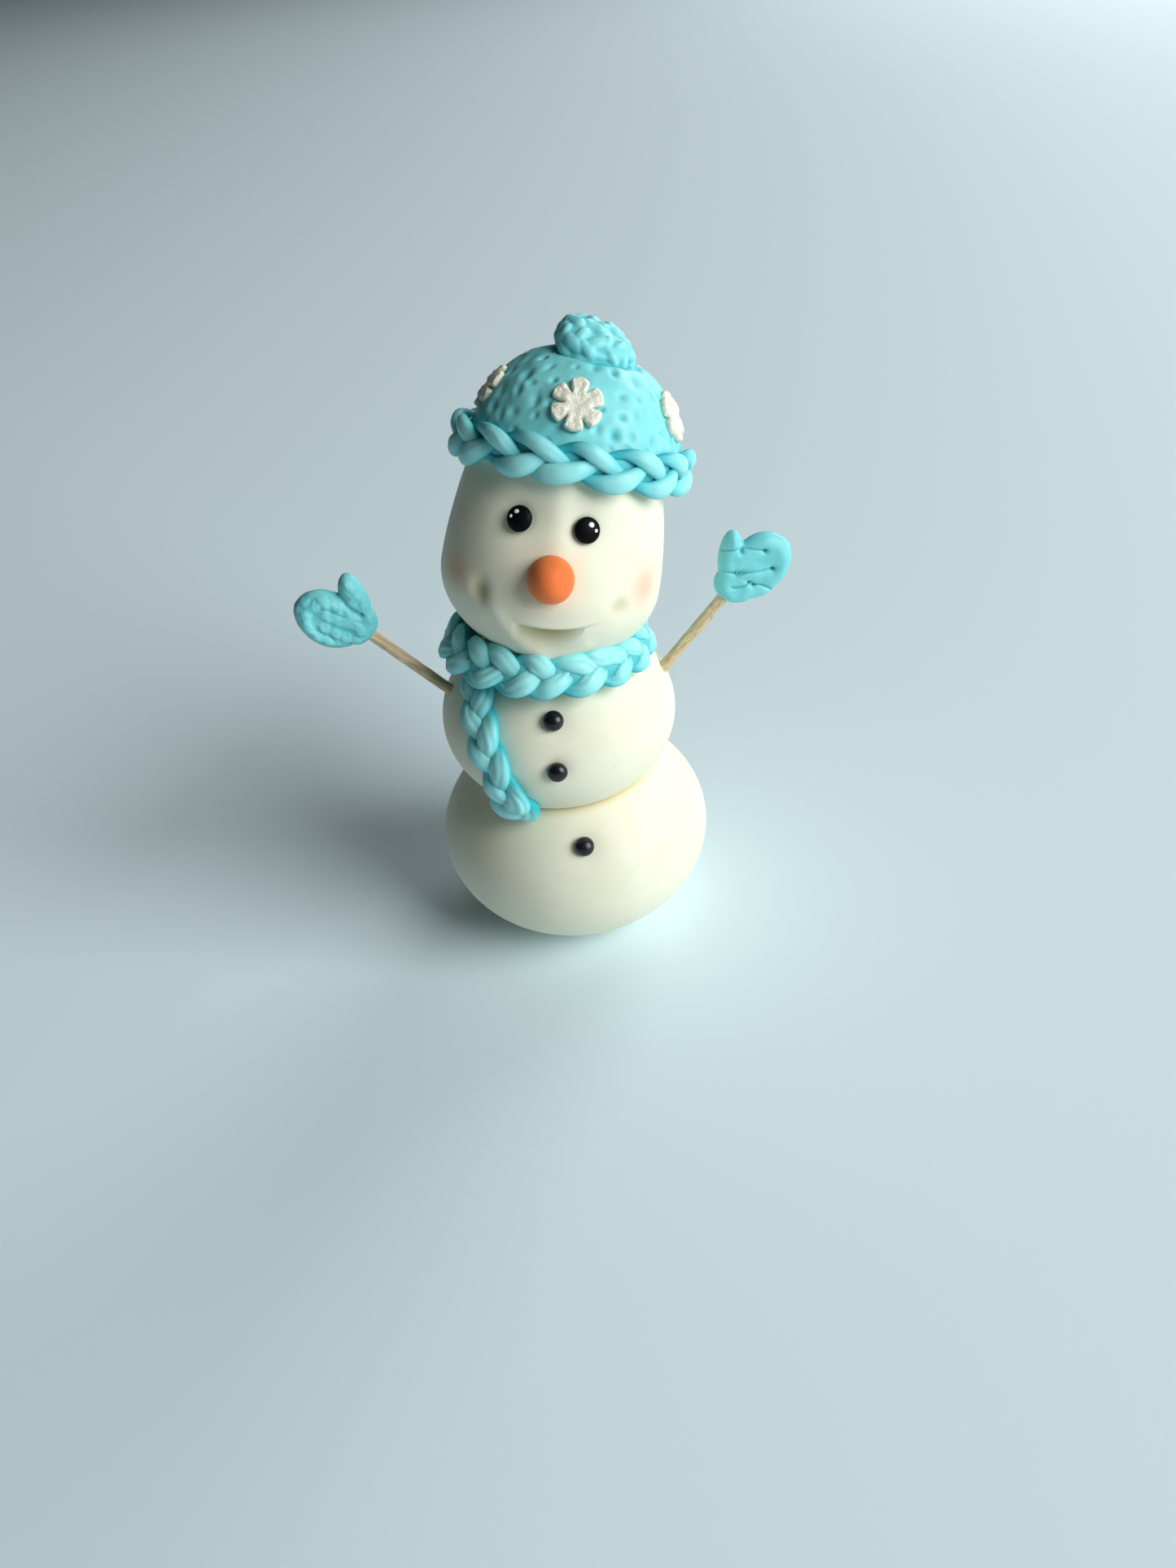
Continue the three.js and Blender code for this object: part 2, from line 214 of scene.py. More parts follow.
def newGroup(name, inputs, outputs):
    group = bpy.data.node_groups.new(name, "ShaderNodeTree")
    for label, kind, value in inputs:
        socket = group.interface.new_socket(name=label, in_out="INPUT", socket_type=kind)
        socket.default_value = value
    for label, kind in outputs:
        group.interface.new_socket(name=label, in_out="OUTPUT", socket_type=kind)
    return group, group.nodes.new("NodeGroupInput"), group.nodes.new("NodeGroupOutput")


def linked(tree, *pairs):
    for source, target in pairs:
        tree.links.new(source, target)


# Sugar paste skin: soft cloudy tone, fine pores and faint rubbed patches.
def makePasteSkin():
    group, given, out = newGroup(
        "pasteSkin",
        [("Cloud Size", "NodeSocketFloat", 120.0), ("Pore Size", "NodeSocketFloat", 2600.0)],
        [("Tone", "NodeSocketFloat"), ("Height", "NodeSocketFloat"), ("Rub", "NodeSocketFloat")])
    nodes = group.nodes
    place = nodes.new("ShaderNodeTexCoord")
    clouds = nodes.new("ShaderNodeTexNoise")
    clouds.inputs["Detail"].default_value = 3
    pores = nodes.new("ShaderNodeTexNoise")
    pores.inputs["Detail"].default_value = 4
    pores.inputs["Roughness"].default_value = 0.6
    rubs = nodes.new("ShaderNodeTexNoise")
    rubs.inputs["Scale"].default_value = 340
    rubs.inputs["Detail"].default_value = 5
    for texture in (clouds, pores, rubs):
        group.links.new(place.outputs["Object"], texture.inputs["Vector"])
    mix = nodes.new("ShaderNodeMath")
    mix.operation = "MULTIPLY_ADD"
    mix.inputs[1].default_value = 0.6
    linked(group,
           (given.outputs["Cloud Size"], clouds.inputs["Scale"]),
           (given.outputs["Pore Size"], pores.inputs["Scale"]),
           (pores.outputs["Fac"], mix.inputs[0]),
           (rubs.outputs["Fac"], mix.inputs[2]),
           (clouds.outputs["Fac"], out.inputs["Tone"]),
           (mix.outputs["Value"], out.inputs["Height"]),
           (rubs.outputs["Fac"], out.inputs["Rub"]))
    return group


pasteSkin = makePasteSkin()


def mixColours(nodes, links, factor, first, second):
    mix = nodes.new("ShaderNodeMix")
    mix.data_type = "RGBA"
    links.new(factor, mix.inputs["Factor"])
    for value, socket in ((first, mix.inputs["A"]), (second, mix.inputs["B"])):
        if isinstance(value, tuple):
            socket.default_value = (*value, 1)
        else:
            links.new(value, socket)
    return mix.outputs["Result"]


def rangeOf(nodes, links, value, fromMin, fromMax, toMin=0.0, toMax=1.0):
    node = nodes.new("ShaderNodeMapRange")
    numbers = {"From Min": fromMin, "From Max": fromMax, "To Min": toMin, "To Max": toMax}
    for label, number in numbers.items():
        node.inputs[label].default_value = number
    links.new(value, node.inputs["Value"])
    return node.outputs["Result"]


def readMask(nodes, name):
    mask = nodes.new("ShaderNodeAttribute")
    mask.attribute_name = name
    return mask.outputs["Fac"]


def newMaterial(name):
    material = bpy.data.materials.new(name)
    material.use_nodes = True
    return material, material.node_tree.nodes, material.node_tree.links


def addBump(nodes, links, height, strength, distance):
    bump = nodes.new("ShaderNodeBump")
    bump.inputs["Strength"].default_value = strength
    bump.inputs["Distance"].default_value = distance
    links.new(height, bump.inputs["Height"])
    links.new(bump.outputs["Normal"], nodes["Principled BSDF"].inputs["Normal"])


# One paste material: two tones, any marks as (mask name, colour) pairs, roughness and pores.
# The marks include real stains and blush as well as painted shade, painted highlights and painted reflected
# light.
def makePaste(name, look):
    material, nodes, links = newMaterial(name)
    shader = nodes["Principled BSDF"]
    skin = nodes.new("ShaderNodeGroup")
    skin.node_tree = pasteSkin
    skin.inputs["Pore Size"].default_value = look["poreSize"]
    tone = rangeOf(nodes, links, skin.outputs["Tone"], 0.35, 0.65)
    colour = mixColours(nodes, links, tone, look["light"], look["dark"])
    for maskName, stain in look["stains"]:
        colour = mixColours(nodes, links, readMask(nodes, maskName), colour, stain)
    links.new(colour, shader.inputs["Base Color"])
    low, high = look["roughness"]
    links.new(rangeOf(nodes, links, skin.outputs["Rub"], 0.3, 0.7, low, high), shader.inputs["Roughness"])
    addBump(nodes, links, skin.outputs["Height"], look["bump"], 0.0002)
    shader.inputs["Subsurface Weight"].default_value = look["glow"]
    shader.inputs["Subsurface Radius"].default_value = look["glowRadius"]
    shader.inputs["Subsurface Scale"].default_value = look["glowScale"]
    shader.inputs["Specular IOR Level"].default_value = look["shine"]
    return material


whiteLook = {
    "light": (0.87, 0.87, 0.715), "dark": (0.83, 0.83, 0.66), "poreSize": 2600.0,
    # The marks are painted shade in the crease where the balls meet, and painted turquoise light reflected
    # onto the white beside the scarf.
    "stains": [("seamStain", (0.74, 0.66, 0.42)), ("blueStain", (0.45, 0.78, 0.76))],
    "roughness": (0.42, 0.6), "bump": 0.12, "shine": 0.4,
    "glow": 0.25, "glowRadius": (1.0, 0.85, 0.55), "glowScale": 0.0012,
}
# On the face: painted shade in the mouth's hollow and the dimples, an orange rub by the nose, blush on the
# cheeks, and painted shade in a thin ring round each eye.
faceLook = {**whiteLook, "stains": [
    ("hollowStain", (0.46, 0.40, 0.15)), ("orangeStain", (0.86, 0.42, 0.24)),
    ("blush", (0.88, 0.48, 0.34)), ("greyStain", (0.35, 0.36, 0.34))]}
turquoiseLook = {
    "light": (0.235, 0.74, 0.77), "dark": (0.19, 0.68, 0.72), "poreSize": 2200.0,
    # Painted shade: deep teal in crevices; painted highlight: pale turquoise on crests.
    "stains": [("hollow", (0.02, 0.45, 0.52)), ("crest", (0.34, 0.82, 0.84))],
    "roughness": (0.4, 0.58), "bump": 0.2, "shine": 0.4,
    "glow": 0.25, "glowRadius": (0.4, 1.0, 1.0), "glowScale": 0.0008,
}
blackLook = {
    "light": (0.006, 0.006, 0.009), "dark": (0.012, 0.012, 0.018), "poreSize": 3200.0, "stains": [],
    "roughness": (0.24, 0.34), "bump": 0.12, "shine": 0.5,
    "glow": 0.0, "glowRadius": (1.0, 1.0, 1.0), "glowScale": 0.001,
}
orangeLook = {
    "light": (1.0, 0.275, 0.09), "dark": (0.95, 0.20, 0.05), "poreSize": 2400.0, "stains": [],
    "roughness": (0.5, 0.66), "bump": 0.3, "shine": 0.2,
    "glow": 0.35, "glowRadius": (1.0, 0.3, 0.1), "glowScale": 0.0014,
}
eyeLook = {**blackLook, "light": (0.003, 0.003, 0.004), "dark": (0.005, 0.005, 0.006),
           "roughness": (0.4, 0.5), "shine": 0.08}
glintLook = {**blackLook, "light": (0.92, 0.94, 0.95), "dark": (0.86, 0.88, 0.9)}
whitePaste = makePaste("whitePaste", whiteLook)
facePaste = makePaste("facePaste", faceLook)
turquoisePaste = makePaste("turquoisePaste", turquoiseLook)
blackPaste = makePaste("blackPaste", blackLook)
orangePaste = makePaste("orangePaste", orangeLook)
eyePaste = makePaste("eyePaste", eyeLook)
glintPaste = makePaste("glintPaste", glintLook)


# Pearl sugar: off-white paste with a gritty, sparkling grain.
def makeSugar():
    material, nodes, links = newMaterial("pearlSugar")
    shader = nodes["Principled BSDF"]
    place = nodes.new("ShaderNodeTexCoord")
    grit = nodes.new("ShaderNodeTexVoronoi")
    grit.inputs["Scale"].default_value = 3600
    fine = nodes.new("ShaderNodeTexNoise")
    fine.inputs["Scale"].default_value = 1500
    fine.inputs["Detail"].default_value = 4
    links.new(place.outputs["Object"], grit.inputs["Vector"])
    links.new(place.outputs["Object"], fine.inputs["Vector"])
    colour = mixColours(nodes, links, rangeOf(nodes, links, fine.outputs["Fac"], 0.35, 0.7),
                        (0.74, 0.74, 0.61), (0.96, 0.96, 0.85))
    links.new(colour, shader.inputs["Base Color"])
    sparkle = rangeOf(nodes, links, grit.outputs["Distance"], 0.1, 0.6, 0.16, 0.5)
    links.new(sparkle, shader.inputs["Roughness"])
    addBump(nodes, links, grit.outputs["Distance"], 0.5, 0.00012)
    return material


# Pick wood: long pale grain that follows the stick, from its own along and round values.
def makeWood():
    material, nodes, links = newMaterial("pickWood")
    shader = nodes["Principled BSDF"]
    grainPlace = nodes.new("ShaderNodeAttribute")
    grainPlace.attribute_name = "grainPlace"
    grain = nodes.new("ShaderNodeTexNoise")
    grain.inputs["Scale"].default_value = 1.0
    grain.inputs["Detail"].default_value = 5
    grain.inputs["Roughness"].default_value = 0.65
    links.new(grainPlace.outputs["Vector"], grain.inputs["Vector"])
    colour = mixColours(nodes, links, rangeOf(nodes, links, grain.outputs["Fac"], 0.36, 0.62),
                        (0.44, 0.30, 0.16), (0.86, 0.69, 0.45))
    links.new(colour, shader.inputs["Base Color"])
    links.new(rangeOf(nodes, links, grain.outputs["Fac"], 0.3, 0.7, 0.8, 0.6), shader.inputs["Roughness"])
    addBump(nodes, links, grain.outputs["Fac"], 0.5, 0.0002)
    return material


pearlSugar = makeSugar()
pickWood = makeWood()
print("materials made")


# A flattened ball: radius and height follow an ellipse between two cut heights; the cut faces are
# flat with a small rounded edge. Returns a grid of rings from the bottom middle to the top middle.
def flattenedBall(centre, radius, rise, bottom, top, columns, rings, edge=0.35):
    low = np.arcsin(np.clip((bottom - centre[2]) / rise, -1, 1))
    high = np.arcsin(np.clip((top - centre[2]) / rise, -1, 1))
    angle = np.linspace(low, high, rings)
    r = radius * np.cos(angle)
    z = centre[2] + rise * np.sin(angle)
    capSteps = 8
    inner = np.linspace(0.06, 1, capSteps, endpoint=False)
    r = np.concatenate([inner * (r[0] - edge), r, inner[::-1] * max(r[-1] - edge, 0.01)])
    z = np.concatenate([np.full(capSteps, bottom), z, np.full(capSteps, top)])
    turn = np.linspace(0, 2 * pi, columns, endpoint=False)
    return np.stack([centre[0] + np.outer(r, np.sin(turn)), centre[1] - np.outer(r, np.cos(turn)),
                     np.repeat(z[:, None], columns, 1)], -1)


# A dent pressed by something round: depth falls off as a bell round a point.
def pressedAt(points, place, width, depth):
    return -depth * bell(np.linalg.norm(points - place, axis=-1), width)


ballShape = {
    "seam": 34.8,                                  # where the two balls are pressed together
    "lowerRise": 20.4, "lowerHeight": 18.8,        # half height and middle height
    "middleRise": 17.4, "middleHeight": 46.6,
    "unevenness": 0.14, "buttonDent": (2.5, 0.55), "pickDent": (1.9, 0.5),
    "columns": 200, "rings": 92,
}


# One ball, a little uneven, with dents round its buttons and picks.
def ballSkin(centre, radius, rise, bottom, top, buttons, picks):
    grid = flattenedBall(centre, radius, rise, bottom, top, ballShape["columns"], ballShape["rings"])
    normals = gridNormals(grid, centre)
    push = ballShape["unevenness"] * softNoise(grid, 11.0, 3)
    for button in buttons:
        push += pressedAt(grid, button, *ballShape["buttonDent"])
    for place in picks:
        push += pressedAt(grid, place, *ballShape["pickDent"])
    side = smoothStep(0.0, 1.0, grid[..., 2] - bottom) * smoothStep(0.0, 1.0, top - grid[..., 2])
    return grid + normals * (push * side)[..., None]


lowBox, middleBox = boxOf("lower_ball"), boxOf("middle_ball")
lowRadius = (lowBox[1][0] - lowBox[0][0]) / 2
midRadius = (middleBox[1][0] - middleBox[0][0]) / 2
lowCentre = np.array([(lowBox[0][0] + lowBox[1][0]) / 2, 0, ballShape["lowerHeight"]])
midCentre = np.array([(middleBox[0][0] + middleBox[1][0]) / 2, 0, ballShape["middleHeight"]])

# Each pick runs along the diagonal of its own box, from inside the ball to inside the mitten.
pickShape = {"radius": 1.0, "buried": 8.0, "columns": 28, "rings": 60}


def pickLine(side):
    low, high = boxOf(f"arm_{side}")
    lift = pickShape["radius"] * 0.7
    across = (low[0] + lift, high[0] - lift) if side == "right" else (high[0] - lift, low[0] + lift)
    y = (low[1] + high[1]) / 2
    return np.array([across[0], y, low[2] + lift]), np.array([across[1], y, high[2] - lift])


pickLines = {side: pickLine(side) for side in ("left", "right")}


def pickLeaves(side):
    start, end = pickLines[side]
    return start + unitVectors(end - start) * pickShape["buried"]


lowerGrid = ballSkin(lowCentre, lowRadius, ballShape["lowerRise"], 0.0, ballShape["seam"] - 0.01,
                     [middleOf("button_3")], [])
middleGrid = ballSkin(midCentre, midRadius, ballShape["middleRise"], ballShape["seam"] + 0.01,
                      midCentre[2] + ballShape["middleRise"],
                      [middleOf("button_1"), middleOf("button_2")],
                      [pickLeaves("left"), pickLeaves("right")])

# The head presses into the middle ball: what would reach into it is laid on its underside, which is
# an ellipse round the head's axis with a flat foot.
headShape = {
    "radius": 19.63, "drop": 14.87, "bottom": -13.4, "top": 19.0,
    "narrowing": 0.116, "narrowingHeight": 17.0, "narrowingPower": 1.8,
    "columns": 400, "rings": 170,
}
inHead = toHead(middleGrid)
outward = np.minimum(np.hypot(inHead[..., 0], inHead[..., 1]) / headShape["radius"], 1)
underside = np.maximum(-headShape["drop"] * np.sqrt(1 - outward ** 2), headShape["bottom"]) - 0.02
inHead[..., 2] = np.minimum(inHead[..., 2], underside)
middleGrid = fromHead(inHead)


# Painted shade in the crease where the balls meet: darker and yellower, strongest at the seam height.
def seamMask(grid):
    return 0.8 * bell(grid[..., 2] - ballShape["seam"], 0.55)


tailRun = {"start": (-70.0, 13.0), "end": (-28.5, -11.0)}   # azimuth, and height from the ball's middle


def midProfile(height):
    return midRadius * np.sqrt(np.maximum(1 - (height / ballShape["middleRise"]) ** 2, 0.0))


# The tail runs along a quarter of an oval over the ball: azimuth = start + across sin u and
# height = start - down (1 - cos u), for u from 0 to a right angle.
def tailRoute(lift, count):
    (azimuth, height), (lastAzimuth, lastHeight) = tailRun["start"], tailRun["end"]
    spots = []
    for u in np.linspace(0, pi / 2, count):
        place, _, _, outwards = spotOn(midProfile, azimuth + (lastAzimuth - azimuth) * np.sin(u),
                                       height + (lastHeight - height) * (1 - np.cos(u)))
        spots.append(place + outwards * lift + midCentre)
    return np.array(spots)


# Painted reflected light: a turquoise glow on the white beside the scarf.
def blueMask(grid):
    line = tailRoute(0.0, 60)
    apart = np.linalg.norm(grid[:, :, None, :] - line[None, None], axis=-1).min(-1)
    return 0.3 * np.exp(-np.maximum(apart - 4.0, 0) / 1.1)


makePiece("lowerBall", closedSkin(lowerGrid), whitePaste, "white_paste", "lower_ball",
          seamStain=withEnds(seamMask(lowerGrid)))
makePiece("middleBall", closedSkin(middleGrid), whitePaste, "white_paste", "middle_ball",
          seamStain=withEnds(seamMask(middleGrid)), blueStain=withEnds(blueMask(middleGrid)))
print("balls made")


# Distance from points to a bent line.
def lineDistance(x, y, line):
    nearest = np.full(x.shape, 1e6)
    for (x1, y1), (x2, y2) in zip(line[:-1], line[1:]):
        dx, dy = x2 - x1, y2 - y1
        t = np.clip(((x - x1) * dx + (y - y1) * dy) / (dx * dx + dy * dy), 0, 1)
        nearest = np.minimum(nearest, np.hypot(x - x1 - t * dx, y - y1 - t * dy))
    return nearest


# A line from start to end that bends like a parabola: start + t (end - start) + 4 t (1 - t) bend,
# the bend to the left of the way it runs.
def bentLine(start, end, bend):
    t = np.linspace(0, 1, 9)[:, None]
    start, end = np.array(start), np.array(end)
    run = end - start
    leftwards = np.array([-run[1], run[0]]) / np.hypot(*run)
    return start + t * run + 4 * t * (1 - t) * bend * leftwards


# How full a slab is inside its outline: nothing on the outline, rising as a quarter circle to 1.
def edgeFullness(x, y, outline, edge):
    apart = lineDistance(x, y, np.concatenate([outline, outline[:1]])) / edge
    return np.sqrt(1 - (1 - np.minimum(apart, 1)) ** 2)


def headRadius(z):
    low = np.sqrt(np.maximum(1 - (np.minimum(z, 0) / headShape["drop"]) ** 2, 0))
    rise = np.maximum(z, 0) / headShape["narrowingHeight"]
    return headShape["radius"] * low * (1 - headShape["narrowing"] * rise ** headShape["narrowingPower"])


face = {
    "eyes": {"eye_left": (-29.4, 11.45), "eye_right": (6.2, 11.45)},   # azimuth, height
    "eyeHollow": (5.0, 1.0), "eyeSeat": (2.5, 0.35),
    "nose": (-8.4, 2.9), "noseSeat": (4.4, 0.3),
    # dimples: azimuth, height, half width, half height, depth and rim
    "dimples": [(-44.6, -1.6, 1.75, 2.0, 0.75, 0.12), (30.4, -0.7, 1.9, 1.45, 0.4, 0.08)],
    "smile": (-0.5, -6.05), "smileHalf": 7.6, "smileBend": 0.5, "smileTilt": 1.25, "lineDepth": 0.25,
    "mouthMiddle": -1.6, "mouthHalf": 6.4, "mouthDepth": 1.5,
    "mouthFade": 4.2, "fadeMiddle": -2.4, "fadeHalf": 6.9, "mouthStain": 0.95,
    "upperLip": (0.6, 0.7, 0.2), "cheekRise": (1.7, 0.45), "lowerLipRise": (1.3, 0.35),
    "cheekLine": ((-10.5, 0.0), (2.0, -8.5), -1.0),           # two ends and how far it bends
    "lowerLip": ((-1.5, -6.5), (5.5, -3.5), -0.4),
    "chin": (-1.0, -8.4, 7.5, 3.4, 1.0),                      # x, y, half width, half height, rise
    "browRidge": ((0.0, 5.5), (1.0, -4.5), 0.4), "browRidgeRise": (2.4, 0.16),
    "browPlace": (-10.0, 11.5), "browHollow": (-3.2, 2.2, 3.2, 4.6, -0.3),
    "blush": [(-63.5, 0.0, 3.1), (47.0, 2.6, 3.3)],           # azimuth, height, width
    "blushShare": 0.68, "noseRub": 0.28, "eyeRub": 0.25,
}


# Rings of radius r at heights z: (r sin turn, -r cos turn, z).
def ringGrid(r, z, turn):
    height = np.repeat(z[:, None], len(turn), 1)
    return np.stack([np.outer(r, np.sin(turn)), -np.outer(r, np.cos(turn)), height], -1)


# A grid of rings round the head's own axis, closer together at the front.
def headGrid():
    share = np.linspace(0, 2 * pi, headShape["columns"], endpoint=False)
    turn = share - 0.42 * np.sin(share)
    step = np.linspace(0, 1, headShape["rings"])
    z = headShape["bottom"] + (headShape["top"] - headShape["bottom"]) * (step - 0.09 * np.sin(2 * pi * step))
    r = headRadius(z)
    inner = np.linspace(0.06, 1, 8, endpoint=False)
    r = np.concatenate([inner * r[0], r, inner[::-1] * r[-1]])
    z = np.concatenate([np.full(8, z[0]), z, np.full(8, z[-1])])
    return ringGrid(r, z, turn)


# A rounded mound, or a hollow where its rise is below nothing.
def moundAt(x, y, spec):
    middleX, middleY, halfWide, halfHigh, rise = spec
    return rise * bell(np.hypot((x - middleX) / halfWide, (y - middleY) / halfHigh), 1.0)


# A soft ridge along a bent line, of a width and a height.
def ridgeAlong(x, y, line, size):
    return size[1] * bell(lineDistance(x, y, bentLine(*line)), size[0])


# Face relief: soft hollows round the eyes, seats for eyes and nose, ball-tool dimples, and a smile
# whose upper lip is a sharp step that runs out downwards into a soft lower lip.
# It also returns painted shade for the dimples and for the mouth's hollow under the upper lip.
def faceRelief(grid):
    front = grid[..., 1] < 0
    push = 0.12 * softNoise(grid, 9.0, 5)
    for azimuth, height in face["eyes"].values():
        x, y, _ = seenFrom(grid, spotOn(headRadius, azimuth, height))
        apart = np.hypot(x, y)
        push -= front * face["eyeHollow"][1] * bell(apart, face["eyeHollow"][0])
        push -= front * face["eyeSeat"][1] * bell(apart, face["eyeSeat"][0]) ** 2
    x, y, _ = seenFrom(grid, spotOn(headRadius, *face["nose"]))
    push -= front * face["noseSeat"][1] * bell(np.hypot(x, y), face["noseSeat"][0]) ** 2
    hollow = np.zeros(grid.shape[:2])
    for azimuth, height, halfWidth, halfHeight, depth, rim in face["dimples"]:
        x, y, _ = seenFrom(grid, spotOn(headRadius, azimuth, height))
        apart = np.hypot(x / halfWidth, y / halfHeight)
        pit = front * np.exp(-apart ** 2.4)
        push += front * rim * bell(np.hypot(x / halfWidth + 1.9, y / halfHeight), 1.2) - depth * pit
        hollow = np.maximum(hollow, depth * pit)
    x, y, _ = seenFrom(grid, spotOn(headRadius, *face["smile"]))
    share = x / face["smileHalf"]
    under = 0.12 + face["smileBend"] * share ** 2 + face["smileTilt"] * share - y
    span = np.clip(1 - share ** 2, 0, 1) ** 0.5 * front
    opening = smoothStep(0, 0.35, 1 - share ** 2) * front
    gape = bell((x - face["mouthMiddle"]) / face["mouthHalf"], 0.7) * opening
    fadeShare = np.clip(1 - ((x - face["fadeMiddle"]) / face["fadeHalf"]) ** 2, 0, 1)
    fade = 0.4 + face["mouthFade"] * fadeShare ** 0.7
    below = np.maximum(under, 0) / fade
    drop = smoothStep(-0.12, 0.32, under) * bell(below, 1.0)
    push -= face["mouthDepth"] * gape * drop + face["lineDepth"] * span * bell(under, 0.3)
    lipAbove, lipWidth, lipRise = face["upperLip"]
    push += lipRise * span * bell(under + lipAbove, lipWidth)
    push += front * ridgeAlong(x, y, face["cheekLine"], face["cheekRise"])
    push += front * ridgeAlong(x, y, face["lowerLip"], face["lowerLipRise"])
    push += front * moundAt(x, y, face["chin"])
    # Painted shade under the upper lip, darkest just below it and fading downwards.
    shade = gape ** 0.6 * np.exp(-(below / 0.9) ** 3) * smoothStep(-0.1, 0.5, under)
    hollow = np.maximum(hollow, face["mouthStain"] * shade)
    x, y, _ = seenFrom(grid, spotOn(headRadius, *face["browPlace"]))
    push += front * ridgeAlong(x, y, face["browRidge"], face["browRidgeRise"])
    push += front * moundAt(x, y, face["browHollow"])
    return push, hollow


headSkin = headGrid()
headNormals = gridNormals(headSkin, 0)
relief, hollowStain = faceRelief(headSkin)
headHeight = headSkin[..., 2]
inside = smoothStep(0, 0.8, headHeight - headShape["bottom"])
inside = inside * smoothStep(0, 0.8, headShape["top"] - headHeight)
headSkin = headSkin + headNormals * (relief * inside)[..., None]


def stainRound(grid, azimuth, height, width):
    x, y, out = seenFrom(grid, spotOn(headRadius, azimuth, height))
    return bell(np.hypot(x, y), width) * (out > -6)


blush = sum(stainRound(headSkin, *spot) for spot in face["blush"])
noseRub = stainRound(headSkin, face["nose"][0] - 2, face["nose"][1] - 1.0, 4.9)
# Painted shade: a thin grey ring just outside each eye's edge, where the eye sits in its seat.
greyRub = sum(bell(np.abs(np.hypot(*seenFrom(headSkin, spotOn(headRadius, *spot))[:2]) - 2.3), 0.35)
              * (headSkin[..., 1] < 0) for spot in face["eyes"].values())
makePiece("headBall", closedSkin(fromHead(headSkin)), facePaste, "white_paste", "head",
          hollowStain=withEnds(hollowStain), orangeStain=withEnds(face["noseRub"] * noseRub),
          blush=withEnds(face["blushShare"] * blush), greyStain=withEnds(face["eyeRub"] * greyRub))
print("head made")


# A bead: an ellipsoid of rings from its back to its front; taper draws the front in to a blunt tip.
def bead(spot, width, height, taper=0.0, lumps=0.0, columns=48, rings=26, seed=7):
    place, sideways, upwards, outwards = spot
    angle = np.linspace(-pi / 2, pi / 2, rings + 2)[1:-1]
    turn = np.linspace(0, 2 * pi, columns, endpoint=False)
    front = np.sin(angle)
    r = width * np.cos(angle) * (1 - taper * front)
    unit = np.stack([np.outer(r, np.cos(turn)), np.outer(r, np.sin(turn)),
                     np.repeat((height * front)[:, None], columns, 1)], -1)
    unit = unit * (1 + lumps * softNoise(unit, 0.9 * width, seed))[..., None]
    return place + unit[..., :1] * sideways + unit[..., 1:2] * upwards + unit[..., 2:] * outwards


def inHeadFrame(spot):
    place, *directions = spot
    return (fromHead(place), *[headTurn @ d for d in directions])


def lifted(spot, x=0.0, y=0.0, out=0.0):
    place, sideways, upwards, outwards = spot
    return place + x * sideways + y * upwards + out * outwards, sideways, upwards, outwards


eyeShape = {"radius": 2.2, "bulge": 1.05, "sink": -0.15}
glints = {  # sideways, upwards, radius
    "eye_left": [(-0.4, 1.0, 0.4), (-1.2, 0.12, 0.29)],
    "eye_right": [(0.34, 0.9, 0.48), (1.25, 0.1, 0.31)],
}
glintCount = 0
for eyeName, (azimuth, height) in face["eyes"].items():
    seat = inHeadFrame(lifted(spotOn(headRadius, azimuth, height), out=eyeShape["sink"]))
    eyeSkin = bead(seat, eyeShape["radius"], eyeShape["bulge"], lumps=0.006)
    makePiece(eyeName.replace("eye_", "eyeDisc_"), closedSkin(eyeSkin), eyePaste, "black_paste", eyeName)
    for x, y, radius in glints[eyeName]:
        glintCount += 1
        out = eyeShape["bulge"] * np.sqrt(1 - (x * x + y * y) / eyeShape["radius"] ** 2)
        dot = lifted(seat, x, y, out - 0.02)
        dotSkin = bead(dot, radius, 0.12, columns=24, rings=10)
        makePiece(f"eyeGlint_{glintCount}", closedSkin(dotSkin), glintPaste, "sugar_white")

noseShape = {"radius": 3.95, "length": 4.6, "standOut": 1.2, "taper": 0.06}
noseSeat = inHeadFrame(lifted(spotOn(headRadius, *face["nose"]), out=noseShape["standOut"]))
noseSkin = bead(noseSeat, noseShape["radius"], noseShape["length"], noseShape["taper"], 0.02, 96, 60)
makePiece("noseCone", closedSkin(noseSkin), orangePaste, "orange_paste", "nose")

buttonShape = {"radius": 1.85, "bulge": 1.5}
for number in (1, 2, 3):
    ballMiddle = lowCentre if number == 3 else midCentre
    rise = ballShape["lowerRise"] if number == 3 else ballShape["middleRise"]
    radius = lowRadius if number == 3 else midRadius
    place = middleOf(f"button_{number}")
    outwards = unitVectors((place - ballMiddle) * np.array([1, 1, (radius / rise) ** 2]))
    sideways = unitVectors(np.cross(np.array([0, 0, 1.0]), outwards))
    spot = (place, sideways, np.cross(outwards, sideways), outwards)
    buttonSkin = bead(spot, buttonShape["radius"], buttonShape["bulge"], lumps=0.02, seed=number)
    makePiece(f"buttonBead_{number}", closedSkin(buttonSkin), blackPaste, "black_paste", f"button_{number}")
print("eyes, nose and buttons made")


